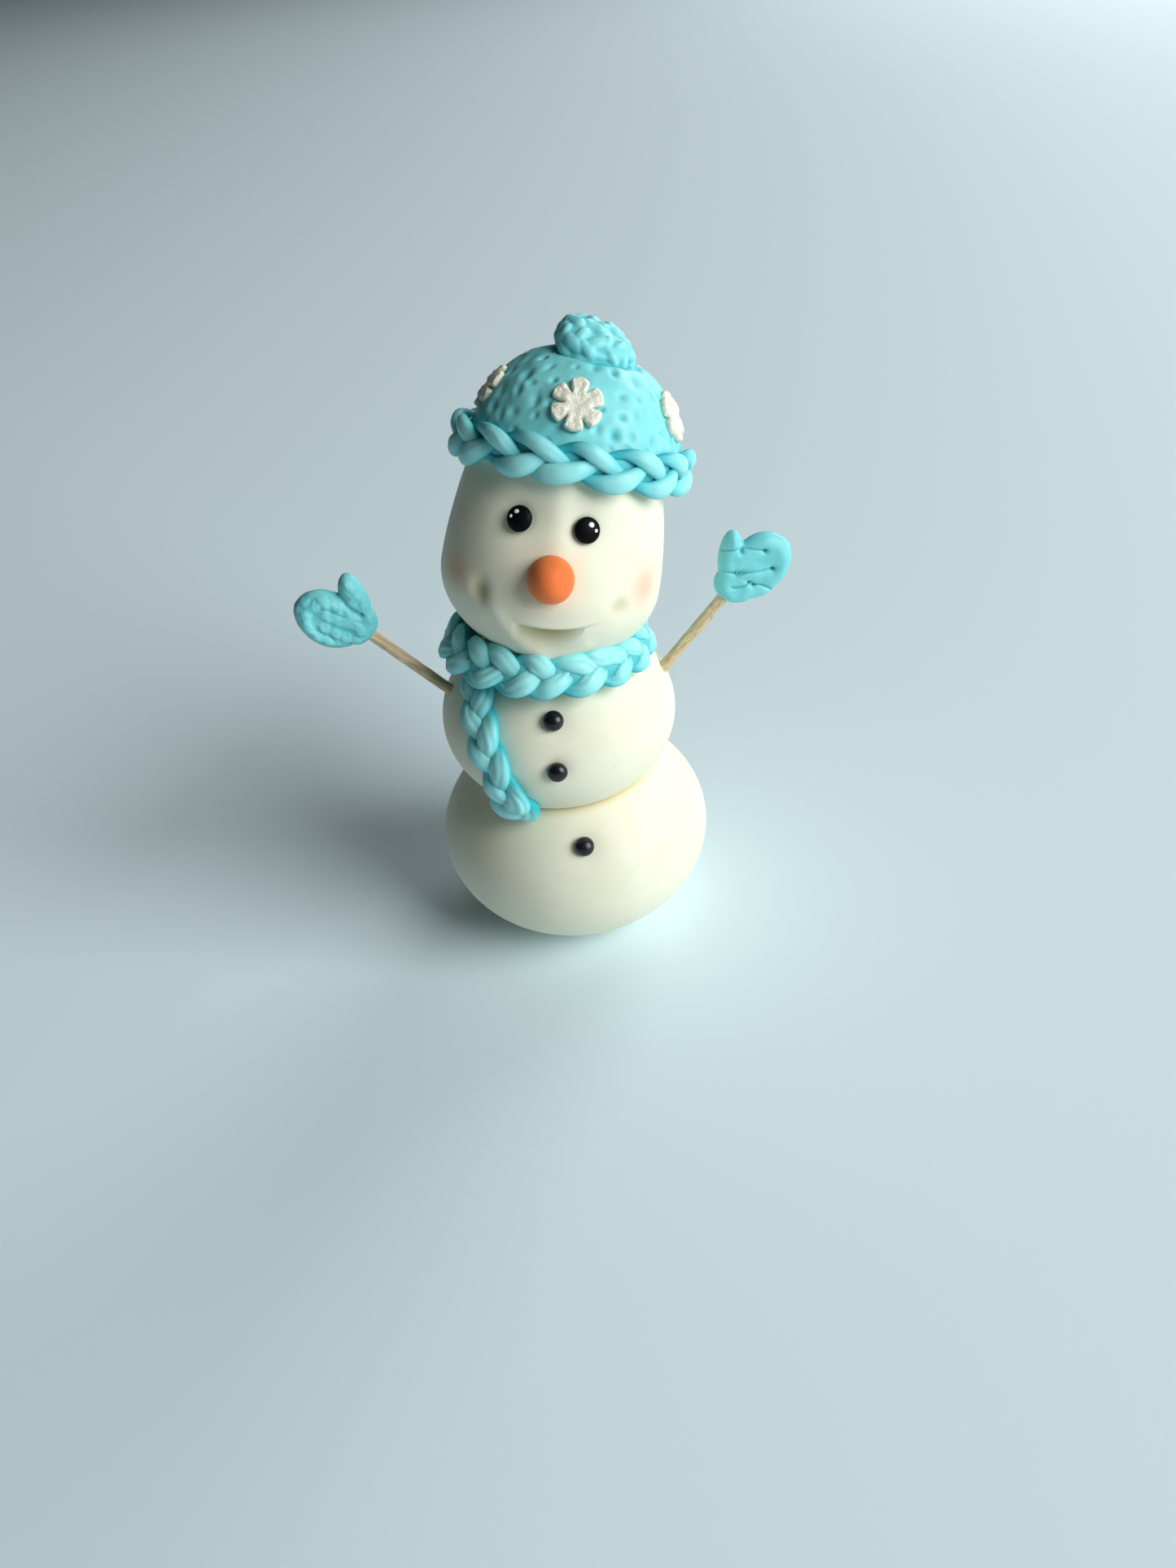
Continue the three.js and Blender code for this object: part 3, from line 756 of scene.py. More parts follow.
for side, (start, end) in pickLines.items():
    sideways = np.cross(unitVectors(end - start), np.array([0, 1.0, 0]))
    t = np.linspace(0, 1, pickShape["rings"])
    turn = np.linspace(0, 2 * pi, pickShape["columns"], endpoint=False)
    ring = np.cos(turn)[:, None] * sideways + np.sin(turn)[:, None] * np.array([0, 1.0, 0])
    flat = 1 - 0.05 * np.cos(6 * turn + 1.0)
    middle = start + t[:, None] * (end - start)
    grid = middle[:, None] + pickShape["radius"] * (ring * flat[:, None])[None]
    grid = grid + ring[None] * (0.04 * softNoise(grid * np.array([1, 1, 0.3]), 0.8, 11))[..., None]
    length = np.linalg.norm(end - start)
    stick = makePiece(f"pick_{side}", closedSkin(grid), pickWood, "pick_wood", f"arm_{side}")
    across = np.repeat(ring[None], len(t), 0) * 4.0
    place = across + (t[:, None] * length * 0.28)[..., None] * np.ones(3)
    values = np.concatenate([place.reshape(-1, 3), place[0].mean(0)[None], place[-1].mean(0)[None]])
    layer = stick.data.attributes.new("grainPlace", "FLOAT_VECTOR", "POINT")
    layer.data.foreach_set("vector", values.astype(np.float32).ravel())
print("picks made")


plaitShape = {                                     # what a plait has unless its own values say otherwise
    "sides": 32, "lowHeavy": 0.0, "endSwell": 0.0,
    "narrow": (0.5, 0.0, 0.1),                     # where along it is thinned, how much, how far
}


# How full a strand is near its ends: sqrt(1 - (1 - s)^2), where s runs from 0 to 1 over reach.
def endFullness(ends, reach):
    return np.sqrt(np.clip(1 - (1 - np.minimum(ends / reach, 1)) ** 2, 0.02, 1))


# A three-strand plait along a route. Strand k runs k thirds of a turn behind the first: across the
# route it swings as the sine of the phase, and out of it as minus the sine of twice the phase, so
# the strands that show on top all lean in towards the middle, pointing the way the route runs.
# Each strand is a tube with an oval section that is fullest where it is on top. A flat core, of
# half width, half thickness and depth below the route, closes the gaps between the strands.
def plaitSkin(middle, width, outward, shape, seed):
    spec = {**plaitShape, **shape}
    travelled = np.concatenate([[0], np.cumsum(np.linalg.norm(np.diff(middle, axis=0), axis=1))])
    length = travelled[-1]
    toEnd = length - travelled
    ends = np.minimum(travelled, toEnd)
    turn = np.linspace(0, 2 * pi, spec["sides"], endpoint=False)
    flatter = np.sign(np.sin(turn)) * np.abs(np.sin(turn)) ** spec["flatness"]
    narrowPlace, narrowAmount, narrowSpread = spec["narrow"]
    narrowing = 1 - narrowAmount * bell(travelled / length - narrowPlace, narrowSpread)
    closing = smoothStep(-0.5, spec["endGather"], ends) * (1 + spec["endSwell"] * bell(toEnd - 5, 4.5))
    rounding = endFullness(ends, spec["endRound"])
    skins, heights = [], []
    for strand in range(3):
        wander = softNoise(np.stack([travelled, 0 * travelled + 40 * strand, 0 * travelled], -1),
                           spec["pitch"] / 3, seed)
        phase = 2 * pi * (travelled / spec["pitch"] + strand / 3) + spec["phase"] + spec["wander"] * wander
        swing = spec["swing"] * (1 + spec["uneven"] * softNoise(middle, spec["pitch"] / 3, seed + 5 + strand))
        across = narrowing * swing * np.sin(phase) * closing
        out = -spec["cross"] * np.sin(2 * phase) * closing
        line = middle + across[:, None] * width + out[:, None] * outward
        tangent = unitVectors(np.gradient(line, axis=0))
        thick = unitVectors(outward - (outward * tangent).sum(1, keepdims=True) * tangent)
        wide = np.cross(tangent, thick)
        full = 1 - spec["plump"] * np.sin(2 * phase)
        full = full + spec["uneven"] * softNoise(line, spec["pitch"] / 4, seed + 1)
        full = full * (1 + spec["endSwell"] * bell(toEnd - 4, 4.0)) * narrowing
        full = full * (1 - spec["lowHeavy"] * np.sin(phase)) * rounding
        halfThick = spec["halfThick"] * full
        linePlace = pi / 2 + 0.75 * softNoise(line, 3.5, seed + 3)[:, None] + np.array([-0.45, 0.5])
        pressed = sum(bell(turn - place[:, None], 0.2) for place in linePlace.T)
        pressed = 1 - spec["lines"] * pressed * (0.5 + 0.5 * softNoise(line, 2.5, seed + 4))[:, None]
        sideShare = (spec["halfWide"] * full)[:, None] * np.cos(turn) * pressed
        topShare = halfThick[:, None] * flatter * pressed
        grid = line[:, None] + sideShare[..., None] * wide[:, None] + topShare[..., None] * thick[:, None]
        grid = grid + 0.06 * softNoise(grid, 1.6, seed + 2)[..., None] * thick[:, None]
        skins.append(closedSkin(grid))
        heights.append(withEnds(out[:, None] + halfThick[:, None] * np.sin(turn)))
    coreWide, coreThick, coreIn = spec["core"]
    coreFull = endFullness(ends, 2.0)[:, None]
    coreSide = coreWide * narrowing[:, None] * coreFull * np.cos(turn)
    coreTop = coreThick * coreFull * np.sin(turn)
    grid = (middle - coreIn * outward)[:, None] + coreSide[..., None] * width[:, None]
    skins.append(closedSkin(grid + coreTop[..., None] * outward[:, None]))
    heights.append(np.full(len(middle) * spec["sides"] + 2, 0.25 * spec["halfThick"]))
    height = np.concatenate(heights)
    # Painted shade where the strands dip low and on the core, painted highlight where they come up on top.
    low, high = -0.2 * spec["halfThick"], spec["cross"] + spec["halfThick"]
    return joinSkins(skins), 1 - smoothStep(low, 0.55 * high, height), smoothStep(0.5 * high, high, height)


def makePlait(name, node, middle, width, outward, spec, seed):
    skin, hollow, crest = plaitSkin(middle, width, outward, spec, seed)
    makePiece(name, skin, turquoisePaste, "turquoise_paste", node, hollow=hollow, crest=crest)


# Points round an almost closed ring, with its height and outward directions; slant turns the
# band so that it faces a little upwards, or downwards where it is below nothing.
def ringRoute(spec):
    t = np.linspace(0, 1, 420)
    angle = np.radians(spec["start"] + spec["sweep"] * t)
    depth = np.where(np.sin(angle) > 0, spec["depthShare"], 1.0)
    middle = spec["radius"] * np.stack([np.cos(angle), depth * np.sin(angle), 0 * angle], -1)
    outward = unitVectors(np.stack([np.cos(angle) * depth, np.sin(angle), 0 * angle], -1))
    c, s = np.cos(radians(spec["slant"])), np.sin(radians(spec["slant"]))
    upright = np.array([0, 0, 1.0])
    return middle, c * upright - s * outward, c * outward + s * upright


hat = {"foot": 19.0, "radius": 18.6, "rise": 20.25, "roundness": 2.21, "shift": 0.75,
       "columns": 460, "rings": 150}
brimPlait = {
    "radius": 19.5, "depthShare": 1.0, "height": 21.75, "start": 90.8, "sweep": 358.4, "slant": -4,
    "pitch": 27.0, "swing": 2.5, "cross": 0.7, "phase": 0.4, "wander": 0.4, "uneven": 0.14,
    "halfWide": 1.3, "halfThick": 1.0, "plump": 0.3, "lines": 0.1, "lowHeavy": 0.14, "flatness": 0.9,
    "core": (2.3, 1.0, 1.0), "endGather": 3.0, "endRound": 1.4, "sides": 28,
}
middle, width, outward = ringRoute(brimPlait)
middle = middle + np.array([hat["shift"] / 2, 0, brimPlait["height"]])
makePlait("brimPlait", "hat_brim", fromHead(middle), width @ headTurn.T, outward @ headTurn.T, brimPlait, 21)

scarfPlait = {
    "radius": 17.7, "depthShare": 0.84, "centre": (-1, 0, 63.1), "tilt": 5.7,
    "start": 90.8, "sweep": 358.4, "slant": 26,
    "pitch": 19.8, "swing": 2.65, "cross": 0.55, "phase": 1.2, "wander": 0.55, "uneven": 0.2,
    "halfWide": 1.62, "halfThick": 0.95, "plump": 0.2, "lines": 0.26, "flatness": 0.85,
    "core": (2.9, 2.7, 1.9), "narrow": (0.72, 0.24, 0.13), "endGather": 3.0, "endRound": 1.6,
}
middle, width, outward = ringRoute(scarfPlait)
tilt = turnY(scarfPlait["tilt"]) @ turnX(scarfPlait["tilt"])
middle = middle @ tilt.T + np.array(scarfPlait["centre"])
makePlait("scarfPlait", "scarf_wrap", middle, width @ tilt.T, outward @ tilt.T, scarfPlait, 31)

tailPlait = {
    "lift": 1.3, "pitch": 20.5, "swing": 1.95, "cross": 0.55, "phase": 0.2, "wander": 0.3, "uneven": 0.1,
    "halfWide": 1.7, "halfThick": 1.15, "plump": 0.22, "lines": 0.2, "flatness": 0.75,
    "core": (2.1, 0.9, 0.3), "endGather": 5.5, "endRound": 2.6, "endSwell": 0.3,
}
middle = tailRoute(tailPlait["lift"], 200)
outward = unitVectors((middle - midCentre) * np.array([1, 1, (midRadius / ballShape["middleRise"]) ** 2]))
width = unitVectors(np.cross(outward, np.gradient(middle, axis=0)))
makePlait("scarfTail", "scarf_tail", middle, width, outward, tailPlait, 41)
print("plaits made")


# Neighbour averages of a height grid, repeated; the difference from it tells crevices from crests.
def blurred(height, rounds):
    for _ in range(rounds):
        height = (2 * height + np.roll(height, 1, 1) + np.roll(height, -1, 1)) / 4
        padded = np.concatenate([height[:1], height, height[-1:]])
        height = (padded[:-2] + 2 * height + padded[2:]) / 4
    return height


# Painted shade where a height lies below the average round it, painted highlight where it lies above.
def creviceMasks(height, rounds, depth):
    above = height - blurred(height, rounds)
    return np.clip(-above / depth, 0, 1), np.clip(above / depth, 0, 1)


# The dome's radius: (r / radius)^n + (rise so far / rise)^n = 1, with the roundness as n.
def crownRadius(z):
    share = np.clip((z - hat["foot"]) / hat["rise"], 0, 1)
    return hat["radius"] * (1 - share ** hat["roundness"]) ** (1 / hat["roundness"])


# Rings up the dome, evenly stepped along its curve, on a flat foot.
def crownGrid():
    step = np.linspace(0, 1, hat["rings"])
    z = hat["foot"] + hat["rise"] * np.sin(pi / 2 * np.minimum(step, 0.985))
    r = crownRadius(z)
    inner = np.linspace(0.06, 1, 6, endpoint=False)
    r = np.concatenate([inner * r[0], r])
    z = np.concatenate([np.full(6, hat["foot"]), z])
    turn = np.linspace(0, 2 * pi, hat["columns"], endpoint=False)
    return ringGrid(r, z, turn)


knit = {
    "rowGap": 3.2, "pitGap": 3.4, "halfWide": 0.7, "halfLong": 0.9, "depth": (0.2, 0.75), "seed": 5,
    "stray": 0.9,                                  # how far a mark may stand above or below its row
    "surround": 0.22,                              # how much the paste swells round a mark
    "lumps": ((1.5, 0.06, 8), (3.2, 0.25, 9)),     # size, height and seed
}


# Knit marks: pressed pits in uneven rows round the crown, each row half a gap on from the last.
def knitMarks():
    rng = np.random.default_rng(knit["seed"])
    marks = []
    z, row = hat["foot"] + 2.0, 0
    while z < hat["foot"] + hat["rise"] * 0.97:
        radius = float(crownRadius(z))
        count = max(int(2 * pi * radius / knit["pitGap"]), 4)
        for place in range(count):
            azimuth = 360 * (place + 0.5 * (row % 2) + rng.uniform(-0.3, 0.3)) / count - 180
            height = z + rng.uniform(-knit["stray"], knit["stray"])
            size = rng.uniform(0.75, 1.3)
            marks.append((azimuth, height, knit["halfWide"] * size,
                          knit["halfLong"] * size * rng.uniform(0.6, 1.3),
                          rng.uniform(-22, 22), rng.uniform(*knit["depth"])))
        slope = np.hypot(1, (float(crownRadius(z + 0.05)) - float(crownRadius(z - 0.05))) / 0.1)
        z += knit["rowGap"] / slope
        row += 1
    return marks


def knitPits(grid):
    depthMap = np.zeros(grid.shape[:2])
    for azimuth, height, halfWide, halfLong, lean, depth in knitMarks():
        height = min(height, hat["foot"] + 0.98 * hat["rise"])
        x, y, out = seenFrom(grid, spotOn(crownRadius, azimuth, height))
        c, s = np.cos(radians(lean)), np.sin(radians(lean))
        apart = ((x * c - y * s) / halfWide) ** 2 + ((y * c + x * s) / halfLong) ** 2
        depthMap += depth * (np.exp(-apart) - knit["surround"] * np.exp(-apart / 5)) * bell(out, 2.5)
    return np.minimum(depthMap, 1.1)


pompom = {
    "half": (7.2, 6.2, 4.2), "centre": (0.9, -3.3, 39.1), "dropRight": 13.0, "dropFront": 25.0,
    "columns": 236, "rings": 136, "rows": 10, "stitchGap": 2.1, "halfLong": 1.75, "halfWide": 0.9,
    "slant": 35.0, "rise": 0.6, "inset": 0.55, "seed": 4,
}


pompomTurn = turnX(-pompom["dropFront"]) @ turnY(pompom["dropRight"])


# How far points lie outside the pompom's own ellipsoid, in millimetres or so.
def fromPompom(points):
    turned = (points - np.array(pompom["centre"])) @ pompomTurn
    return (np.linalg.norm(turned / np.array(pompom["half"]), axis=-1) - 1) * pompom["half"][2]


crown = crownGrid()
crownNormals = gridNormals(crown, np.array([0, 0, hat["foot"]]))
pits = knitPits(crown)
lumps = sum(high * softNoise(crown, size, seed) for size, high, seed in knit["lumps"])
raised = smoothStep(0, 1.0, crown[..., 2] - hat["foot"])
# Painted highlight on the crown's lumps.
crownCrest = creviceMasks(lumps - pits, 30, 0.2)[1]
contact = bell(fromPompom(crown), 0.5)
crown = crown + crownNormals * ((lumps - pits - 0.4 * contact) * raised)[..., None]
crown = crown + np.array([hat["shift"], 0, 0])
# Painted shade in the knit pits and in the crease round the pompom, where the crown is also pressed in a
# little.
crownHollow = np.clip(np.maximum(1.9 * (pits - 0.15), 0.9 * contact), 0, 1) * raised
makePiece("hatCrown", closedSkin(fromHead(crown)), turquoisePaste, "turquoise_paste", "hat_crown",
          hollow=withEnds(crownHollow), crest=withEnds(0.9 * crownCrest * raised))
print("hat made")


# Stitches as leaf-shaped domes: the height is the largest of all the domes over a point, so they
# meet in sharp creases. A stitch is x, y, half length, half width, turn in degrees and height.
def stitchHeight(x, y, stitches):
    height = np.zeros(x.shape)
    for middleX, middleY, halfLong, halfWide, turn, rise in stitches:
        c, s = np.cos(radians(turn)), np.sin(radians(turn))
        along = (x - middleX) * c + (y - middleY) * s
        across = (y - middleY) * c - (x - middleX) * s
        inside = 1 - (along / halfLong) ** 2 - (across / halfWide) ** 2
        height = np.maximum(height, rise * np.sqrt(np.clip(inside, 0, 1)))
    return height


# An ellipsoid whose skin is knitted: rows of leaf-shaped stitches run over it from left to right,
# slanting one way in one row and the other way in the next.
def pompomSkin():
    half = np.array(pompom["half"]) - pompom["inset"]
    angle = np.linspace(-pi / 2, pi / 2, pompom["rings"] + 2)[1:-1]
    turn = np.linspace(0, 2 * pi, pompom["columns"], endpoint=False)
    unit = np.stack([np.outer(np.cos(angle), np.cos(turn)), np.outer(np.cos(angle), np.sin(turn)),
                     np.repeat(np.sin(angle)[:, None], len(turn), 1)], -1)
    blocky = np.sign(unit) * np.abs(unit) ** 0.86
    base = blocky * half
    base = base + (0.35 * softNoise(base, 4.2, 6))[..., None] * unit
    rng = np.random.default_rng(pompom["seed"])
    height = np.zeros(unit.shape[:2])
    for row in range(pompom["rows"]):
        around = 2 * pi * row / pompom["rows"]
        count = int(2 * half[0] / pompom["stitchGap"])
        for step in range(count + 1):
            along = np.clip(-1 + 2 * (step + 0.5 * (row % 2) + rng.uniform(-0.2, 0.2)) / count, -0.98, 0.98)
            ringSize = np.sqrt(1 - along ** 2)
            turned = around + rng.uniform(-0.14, 0.14)
            place = half * np.array([along, ringSize * np.sin(turned), ringSize * np.cos(turned)])
            outwards = unitVectors(place / half ** 2)
            sideways = unitVectors(np.array([1.0, 0, 0]) - outwards[0] * outwards)
            upwards = np.cross(outwards, sideways)
            x, y, out = seenFrom(base, (place, sideways, upwards, outwards))
            slant = pompom["slant"] * (1 if row % 2 else -1) + rng.uniform(-45, 45)
            size = rng.uniform(0.7, 1.3)
            stitch = (0.0, 0.0, pompom["halfLong"] * size, pompom["halfWide"] * size, slant,
                      pompom["rise"] * rng.uniform(0.75, 1.05))
            height = np.maximum(height, stitchHeight(x, y, [stitch]) * (np.abs(out) < 2.0))
    height = 0.15 * height + 0.85 * blurred(height, 7)
    height = height + 0.3 * softNoise(base, 1.9, 12) + 0.05 * softNoise(base, 0.8, 14)
    grid = base + unitVectors(unit / half) * height[..., None]
    return grid @ pompomTurn.T + np.array(pompom["centre"]), height


pompomGrid, pompomHeight = pompomSkin()
# Painted shade in the crevices between stitches, painted highlight on their crests.
pompomHollow, pompomCrest = creviceMasks(pompomHeight, 24, 0.3)
makePiece("pompomKnit", closedSkin(fromHead(pompomGrid)), turquoisePaste, "turquoise_paste", "pompom",
          hollow=withEnds(pompomHollow), crest=withEnds(pompomCrest))
print("pompom made")


flake = {
    "reach": 4.5, "petals": 6, "notch": 0.43, "notchWidth": 5.0, "height": 30.25,
    "azimuths": (-11.7, 64, 132, 204, 272.5), "sizes": (1.0, 0.97, 1.0, 1.0, 0.9),
    "deeper": (0.0, 0.15, 0.1, 0.1, 0.4),          # how much further in each one is pressed
    "thickness": 1.35, "sink": 0.25, "bend": 0.75, "edge": 0.5, "columns": 240, "rings": 52, "grit": 0.07,
}


# Outline of a snowflake: a circle with narrow notches between its petals, one petal pointing up.
def flakeReach(turn, seed):
    rng = np.random.default_rng(seed)
    reach = np.ones(turn.shape)
    for petal in range(flake["petals"]):
        middle = pi / 2 + 2 * pi * (petal + 0.5) / flake["petals"] + rng.uniform(-0.05, 0.05)
        apart = np.degrees(np.abs((turn - middle + pi) % (2 * pi) - pi))
        deep = flake["notch"] * rng.uniform(0.9, 1.05)
        reach = reach - deep * np.exp(-(apart / flake["notchWidth"]) ** 2.8)
    lobes = 0.9 + 0.1 * np.abs(np.cos(flake["petals"] * (turn - pi / 2) / 2))
    wobble = softNoise(np.stack([np.cos(turn) * 2, np.sin(turn) * 2, 0 * turn + 9 * seed], -1), 1.0, seed)
    return flake["reach"] * reach * lobes * (1 + 0.025 * wobble)


# A snowflake bent over the crown: each of its points is carried to the crown's surface below it
# and lifted along the crown's normal by its own height over the flake's back.
def flakeSkin(number):
    turn = np.linspace(0, 2 * pi, flake["columns"], endpoint=False)
    angle = np.linspace(-pi / 2, pi / 2, flake["rings"] + 2)[1:-1]
    share = np.cos(angle) ** 0.5
    reach = flakeReach(turn, number) * flake["sizes"][number - 1]
    outline = np.stack([reach * np.cos(turn), reach * np.sin(turn)], -1)
    x, y = np.outer(share, outline[:, 0]), np.outer(share, outline[:, 1])
    fullness = edgeFullness(x, y, outline[::2], flake["edge"])
    out = (1 + np.sign(angle)[:, None] * fullness) * flake["thickness"] / 2
    out = out - flake["sink"] - flake["deeper"][number - 1]
    uneven = softNoise(np.stack([x, y, 0 * x + 9 * number], -1), 0.9, 2) - bell(np.hypot(x, y), 1.1)
    out = out + 0.16 * uneven * (angle > 0)[:, None]
    place, sideways, upwards, outwards = spotOn(crownRadius, flake["azimuths"][number - 1], flake["height"])
    flat = place + x[..., None] * sideways + y[..., None] * upwards
    z = np.clip(flat[..., 2], hat["foot"], hat["foot"] + hat["rise"] * 0.97)
    radius = crownRadius(z)
    slope = (crownRadius(z + 0.02) - crownRadius(z - 0.02)) / 0.04
    around = unitVectors(flat[..., :2])
    normals = unitVectors(np.concatenate([around, -slope[..., None]], -1))
    onCrown = np.concatenate([around * radius[..., None], z[..., None]], -1)
    base = flake["bend"] * onCrown + (1 - flake["bend"]) * flat
    normals = unitVectors(flake["bend"] * normals + (1 - flake["bend"]) * outwards)
    grid = base + normals * out[..., None]
    grid = grid + normals * (flake["grit"] * softNoise(grid, 0.35, 13))[..., None]
    return grid + np.array([hat["shift"], 0, 0])


for number in range(1, 6):
    makePiece(f"flake_{number}", closedSkin(fromHead(flakeSkin(number))), pearlSugar, "sugar_white",
              f"snowflake_{number}")
print("snowflakes made")


mitten = {
    "middle": (2.0, 5.0), "half": 2.4, "edge": 2.3, "columns": 330, "rings": 122, "soften": 6,
    "cuffOval": (0.8, 3.4, 4.1, 3.5, 0),           # middle x and y, half width, half length, lean
    "pit": (0.45, 0.5),                            # radius and depth of the pit that ends a groove
}
mittens = {
    "left": {
        "cuff": (-32.9, 0, 67.3), "lean": -53.0, "thumbSide": 1, "seed": 3, "lumps": 0.16,
        "ovals": [(-0.5, 8.0, 5.2, 6.8, 0), (5.3, 6.2, 2.4, 5.0, 40)],          # hand and thumb
        # rows round the hand: how far out, first and last angle, stitches, half sizes and height
        "rows": [(0.68, 65, 190, 6, 1.7, 1.1, 0.7), (0.87, 75, 200, 7, 1.4, 0.85, 0.5)],
        # columns up the palm: x, lowest and highest y, stitches, half sizes and height
        "stacks": [(-1.6, 2.5, 8.5, 4, 1.5, 1.0, 0.55), (0.9, 3.0, 9.5, 4, 1.6, 1.0, 0.5),
                   (3.0, 8.5, 11.0, 2, 1.5, 1.0, 0.45)],
        "grooves": [((6.0, 10.5), (3.5, 4.0), -0.5, 0.6, 0.45)],                # ends, bend, depth, width
    },
    "right": {
        "cuff": (32.2, 0, 65.5), "lean": 39.7, "thumbSide": -1, "seed": 8, "lumps": 0.03,
        "ovals": [(-0.5, 8.6, 5.5, 6.9, 0), (4.8, 7.2, 2.3, 5.3, 33)],
        "rows": [], "stacks": [],
        "grooves": [((7.5, 7.5), (1.0, 12.0), -0.5, 0.45, 0.25), ((6.0, 4.0), (-2.5, 10.0), 0.5, 0.55, 0.3),
                    ((1.5, 3.0), (-0.5, 5.5), 0.4, 0.5, 0.3), ((-5.0, 6.5), (-1.5, 5.5), 0.4, 0.55, 0.25),
                    ((5.0, 11.0), (4.5, 9.5), 0.0, 0.3, 0.4)],
    },
}


# How far a ray from the mitten's middle runs before it leaves an oval that holds the middle: with
# the ray d and the middle m both measured in the oval's half sizes, the t for which |m + t d| = 1.
def ovalReach(oval, turn):
    x, y, halfWide, halfLong, lean = oval
    c, s = np.cos(radians(lean)), np.sin(radians(lean))
    intoOval = np.array([[c, s], [-s, c]]) / np.array([halfWide, halfLong])
    ray = np.stack([np.cos(turn), np.sin(turn)], -1) @ intoOval
    start = (np.array(mitten["middle"]) - (x, y)) @ intoOval
    a, b = (ray ** 2).sum(-1), ray @ start
    return (-b + np.sqrt(b * b - a * ((start ** 2).sum() - 1))) / a


# A mitten's outline: the farthest of the cuff, hand and thumb ovals in each direction, softened.
def mittenOutline(spec):
    turn = np.linspace(0, 2 * pi, mitten["columns"], endpoint=False)
    reach = np.max([ovalReach(oval, turn) for oval in (mitten["cuffOval"], *spec["ovals"])], axis=0)
    for _ in range(mitten["soften"]):
        reach = (2 * reach + np.roll(reach, 1) + np.roll(reach, -1)) / 4
    return np.array(mitten["middle"]) + reach[:, None] * np.stack([np.cos(turn), np.sin(turn)], -1)


# The stitches of a mitten: rows that run round the hand's oval, and columns up the palm.
def mittenStitches(spec):
    rng = np.random.default_rng(spec["seed"])
    stitches = []
    handX, handY, handWide, handLong, _ = spec["ovals"][0]
    for share, first, last, count, halfLong, halfWide, rise in spec["rows"]:
        for angle in np.linspace(first, last, count):
            c, s = np.cos(radians(angle)), np.sin(radians(angle))
            runs = np.degrees(np.arctan2(handLong * c, -handWide * s))
            stitches.append((handX + share * handWide * c, handY + share * handLong * s, halfLong, halfWide,
                             runs + rng.uniform(-8, 8), rise * rng.uniform(0.85, 1.1)))
    for x, low, high, count, halfLong, halfWide, rise in spec["stacks"]:
        for y in np.linspace(low, high, count):
            stitches.append((x + rng.uniform(-0.3, 0.3), y, halfLong, halfWide,
                             250 + rng.uniform(-15, 15), rise * rng.uniform(0.85, 1.1)))
    return stitches


def mittenRelief(x, y, spec):
    height = stitchHeight(x, y, mittenStitches(spec))
    height = 0.35 * height + 0.45 * blurred(height, 4)
    pitRadius, pitDepth = mitten["pit"]
    for start, end, bend, depth, width in spec["grooves"]:
        apart = lineDistance(x, y, bentLine(start, end, bend))
        height = height - 0.6 * depth * bell(apart, width) - 0.4 * depth * bell(apart, 0.9)
        height = height - pitDepth * bell(np.hypot(x - end[0], y - end[1]), pitRadius)
    return height


# A mitten: a slab with a rounded edge, its outline drawn in to a middle point on both faces; the
# knit relief is raised on both faces.
def mittenSkin(spec):
    outline = mittenOutline(spec)
    angle = np.linspace(-pi / 2, pi / 2, mitten["rings"] + 2)[1:-1]
    share = np.cos(angle) ** 0.5
    middle = np.array(mitten["middle"])
    flat = middle + share[:, None, None] * (outline - middle)
    x, y = flat[..., 0], flat[..., 1]
    fullness = edgeFullness(x, y, outline, mitten["edge"])
    side = np.sign(angle)[:, None]
    local = np.stack([x, y, mitten["half"] * side * fullness], -1)
    swell = 0.22 * softNoise(local, 2.6, spec["seed"]) + spec["lumps"] * (
        softNoise(local, 1.1, spec["seed"] + 1) + 0.5 * softNoise(local, 0.55, spec["seed"] + 2))
    height = mittenRelief(x, y, spec) + swell
    x, y = (middle[k] + (flat[..., k] - middle[k]) * (1 + 0.06 * swell) for k in (0, 1))
    local = np.stack([x, y, side * fullness * (mitten["half"] - 0.25 + height)], -1)
    lean = turnY(spec["lean"])
    world = np.stack([spec["thumbSide"] * local[..., 0], -local[..., 2], local[..., 1]], -1)
    return world @ lean.T + np.array(spec["cuff"]), height


for side, spec in mittens.items():
    mittenGrid, mittenHeight = mittenSkin(spec)
    # Painted shade in the grooves and crevices, painted highlight on the raised stitches.
    mittenHollow, mittenCrest = creviceMasks(mittenHeight, 12, 0.3)
    makePiece(f"mittenKnit_{side}", closedSkin(mittenGrid), turquoisePaste, "turquoise_paste",
              f"mitten_{side}", hollow=withEnds(mittenHollow), crest=withEnds(0.6 * mittenCrest))
print("mittens made")


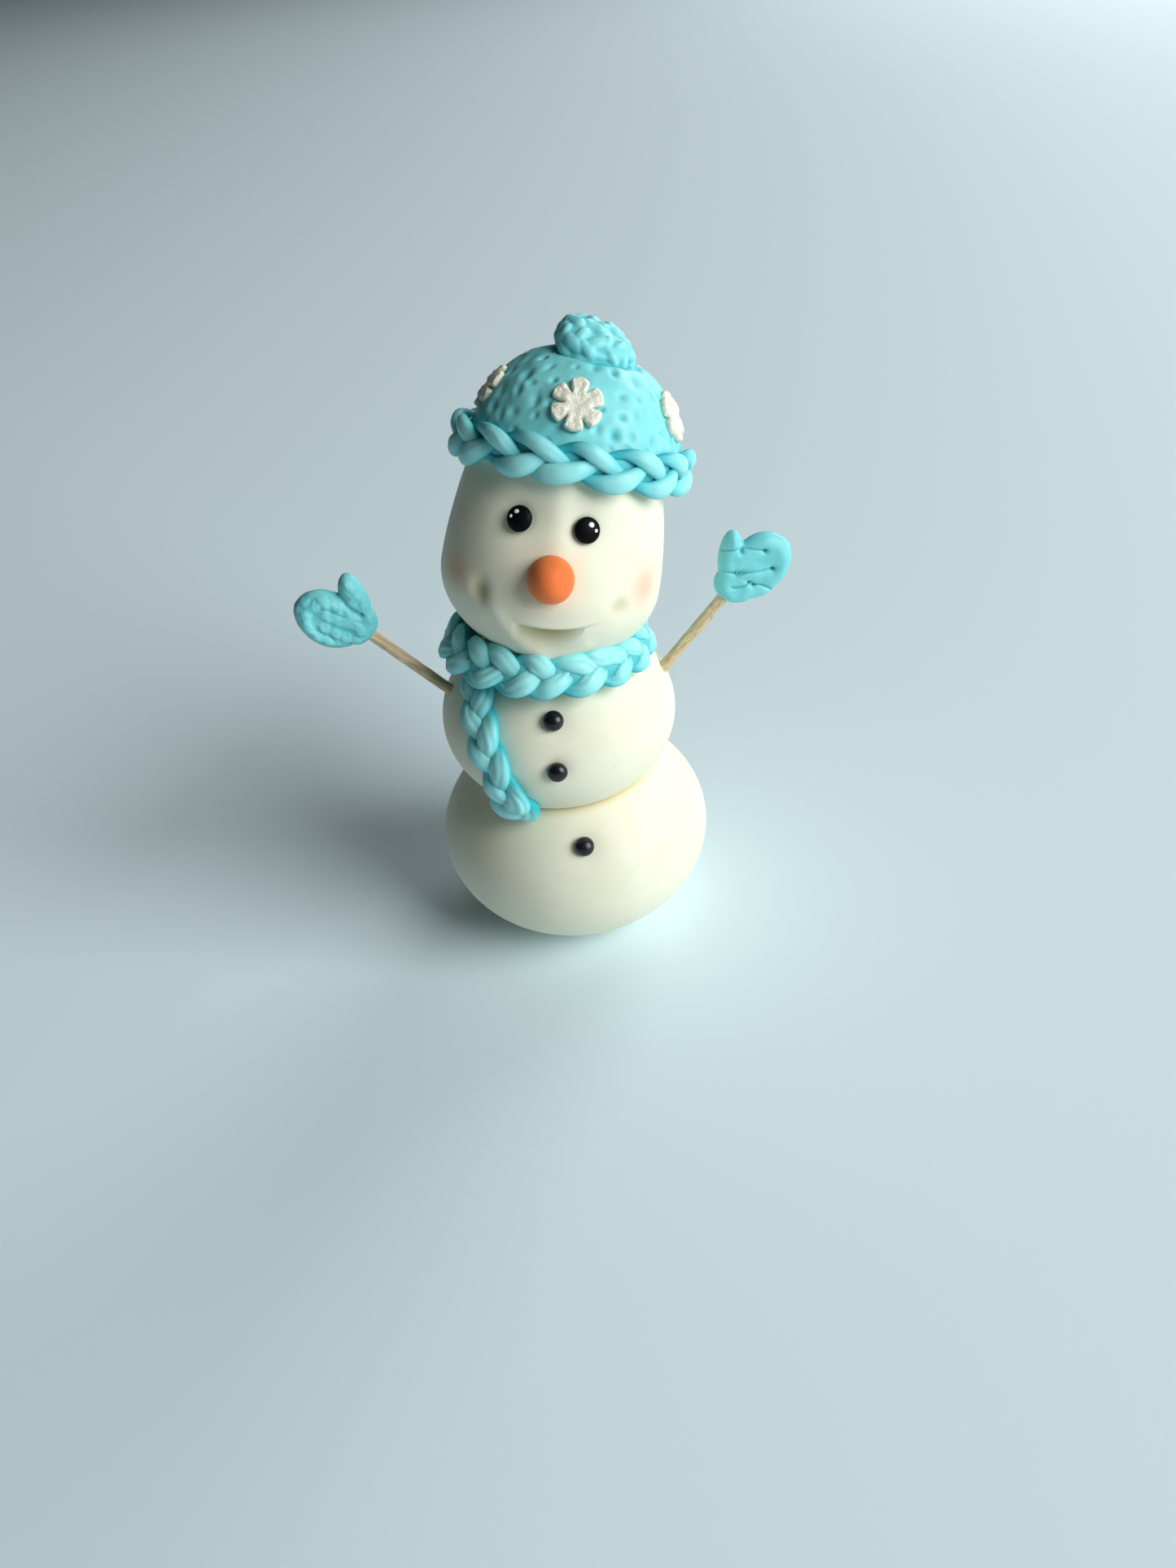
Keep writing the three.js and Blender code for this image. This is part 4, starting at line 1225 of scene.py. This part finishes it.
cameraPlace = {"from": (-6.0, -210.0, 185.0), "aim": (3.3, 0.0, 27.5), "roll": -5.9, "lens": 30.0}
cameraData = bpy.data.cameras.new("camera")
cameraData.lens = cameraPlace["lens"]
cameraData.sensor_width = 36
cameraData.sensor_fit = "AUTO"
cameraData.clip_start = 0.01
camera = bpy.data.objects.new("camera", cameraData)
seenAlong = Vector(cameraPlace["aim"]) - Vector(cameraPlace["from"])
looking = seenAlong.to_track_quat("-Z", "Y").to_matrix().to_4x4()
rolled = looking @ Matrix.Rotation(radians(cameraPlace["roll"]), 4, "Z")
camera.matrix_world = Matrix.Translation(Vector(cameraPlace["from"]) * mm) @ rolled
bpy.context.scene.collection.objects.link(camera)
bpy.context.scene.camera = camera


def softBox(name, place, aim, size, power, colour):
    data = bpy.data.lights.new(name, "AREA")
    data.shape = "RECTANGLE"
    data.size, data.size_y = size
    data.energy = power
    data.color = colour
    light = bpy.data.objects.new(name, data)
    light.location = Vector(place)
    light.rotation_euler = (Vector(aim) - Vector(place)).to_track_quat("-Z", "Y").to_euler()
    bpy.context.scene.collection.objects.link(light)


softBox("windowLight", (1.58, -1.07, 1.16), (0, 0, 0.06), (1.6, 1.6), 58.0, (1.0, 1.0, 0.98))
softBox("rimLight", (1.33, 1.58, 0.81), (0, 0, 0.06), (1.2, 1.2), 19.0, (1.0, 1.0, 1.0))
world = bpy.data.worlds.new("room")
world.use_nodes = True
background = world.node_tree.nodes["Background"]
background.inputs["Color"].default_value = (0.86, 0.84, 0.78, 1)
background.inputs["Strength"].default_value = 0.03
bpy.context.scene.world = world
bpy.context.scene.view_settings.view_transform = "Standard"

floorMesh = bpy.data.meshes.new("floor")
reach = 3.0
corners = [(-reach, -reach, 0), (reach, -reach, 0), (reach, reach, 0), (-reach, reach, 0)]
floorMesh.from_pydata(corners, [], [(0, 1, 2, 3)])
floor = bpy.data.objects.new("floor", floorMesh)
bpy.context.scene.collection.objects.link(floor)
floorMaterial, floorNodes, _ = newMaterial("paleTable")
floorNodes["Principled BSDF"].inputs["Base Color"].default_value = (0.76, 0.93, 1.0, 1)
floorNodes["Principled BSDF"].inputs["Roughness"].default_value = 0.8
floorMesh.materials.append(floorMaterial)
print("camera, light and floor made")
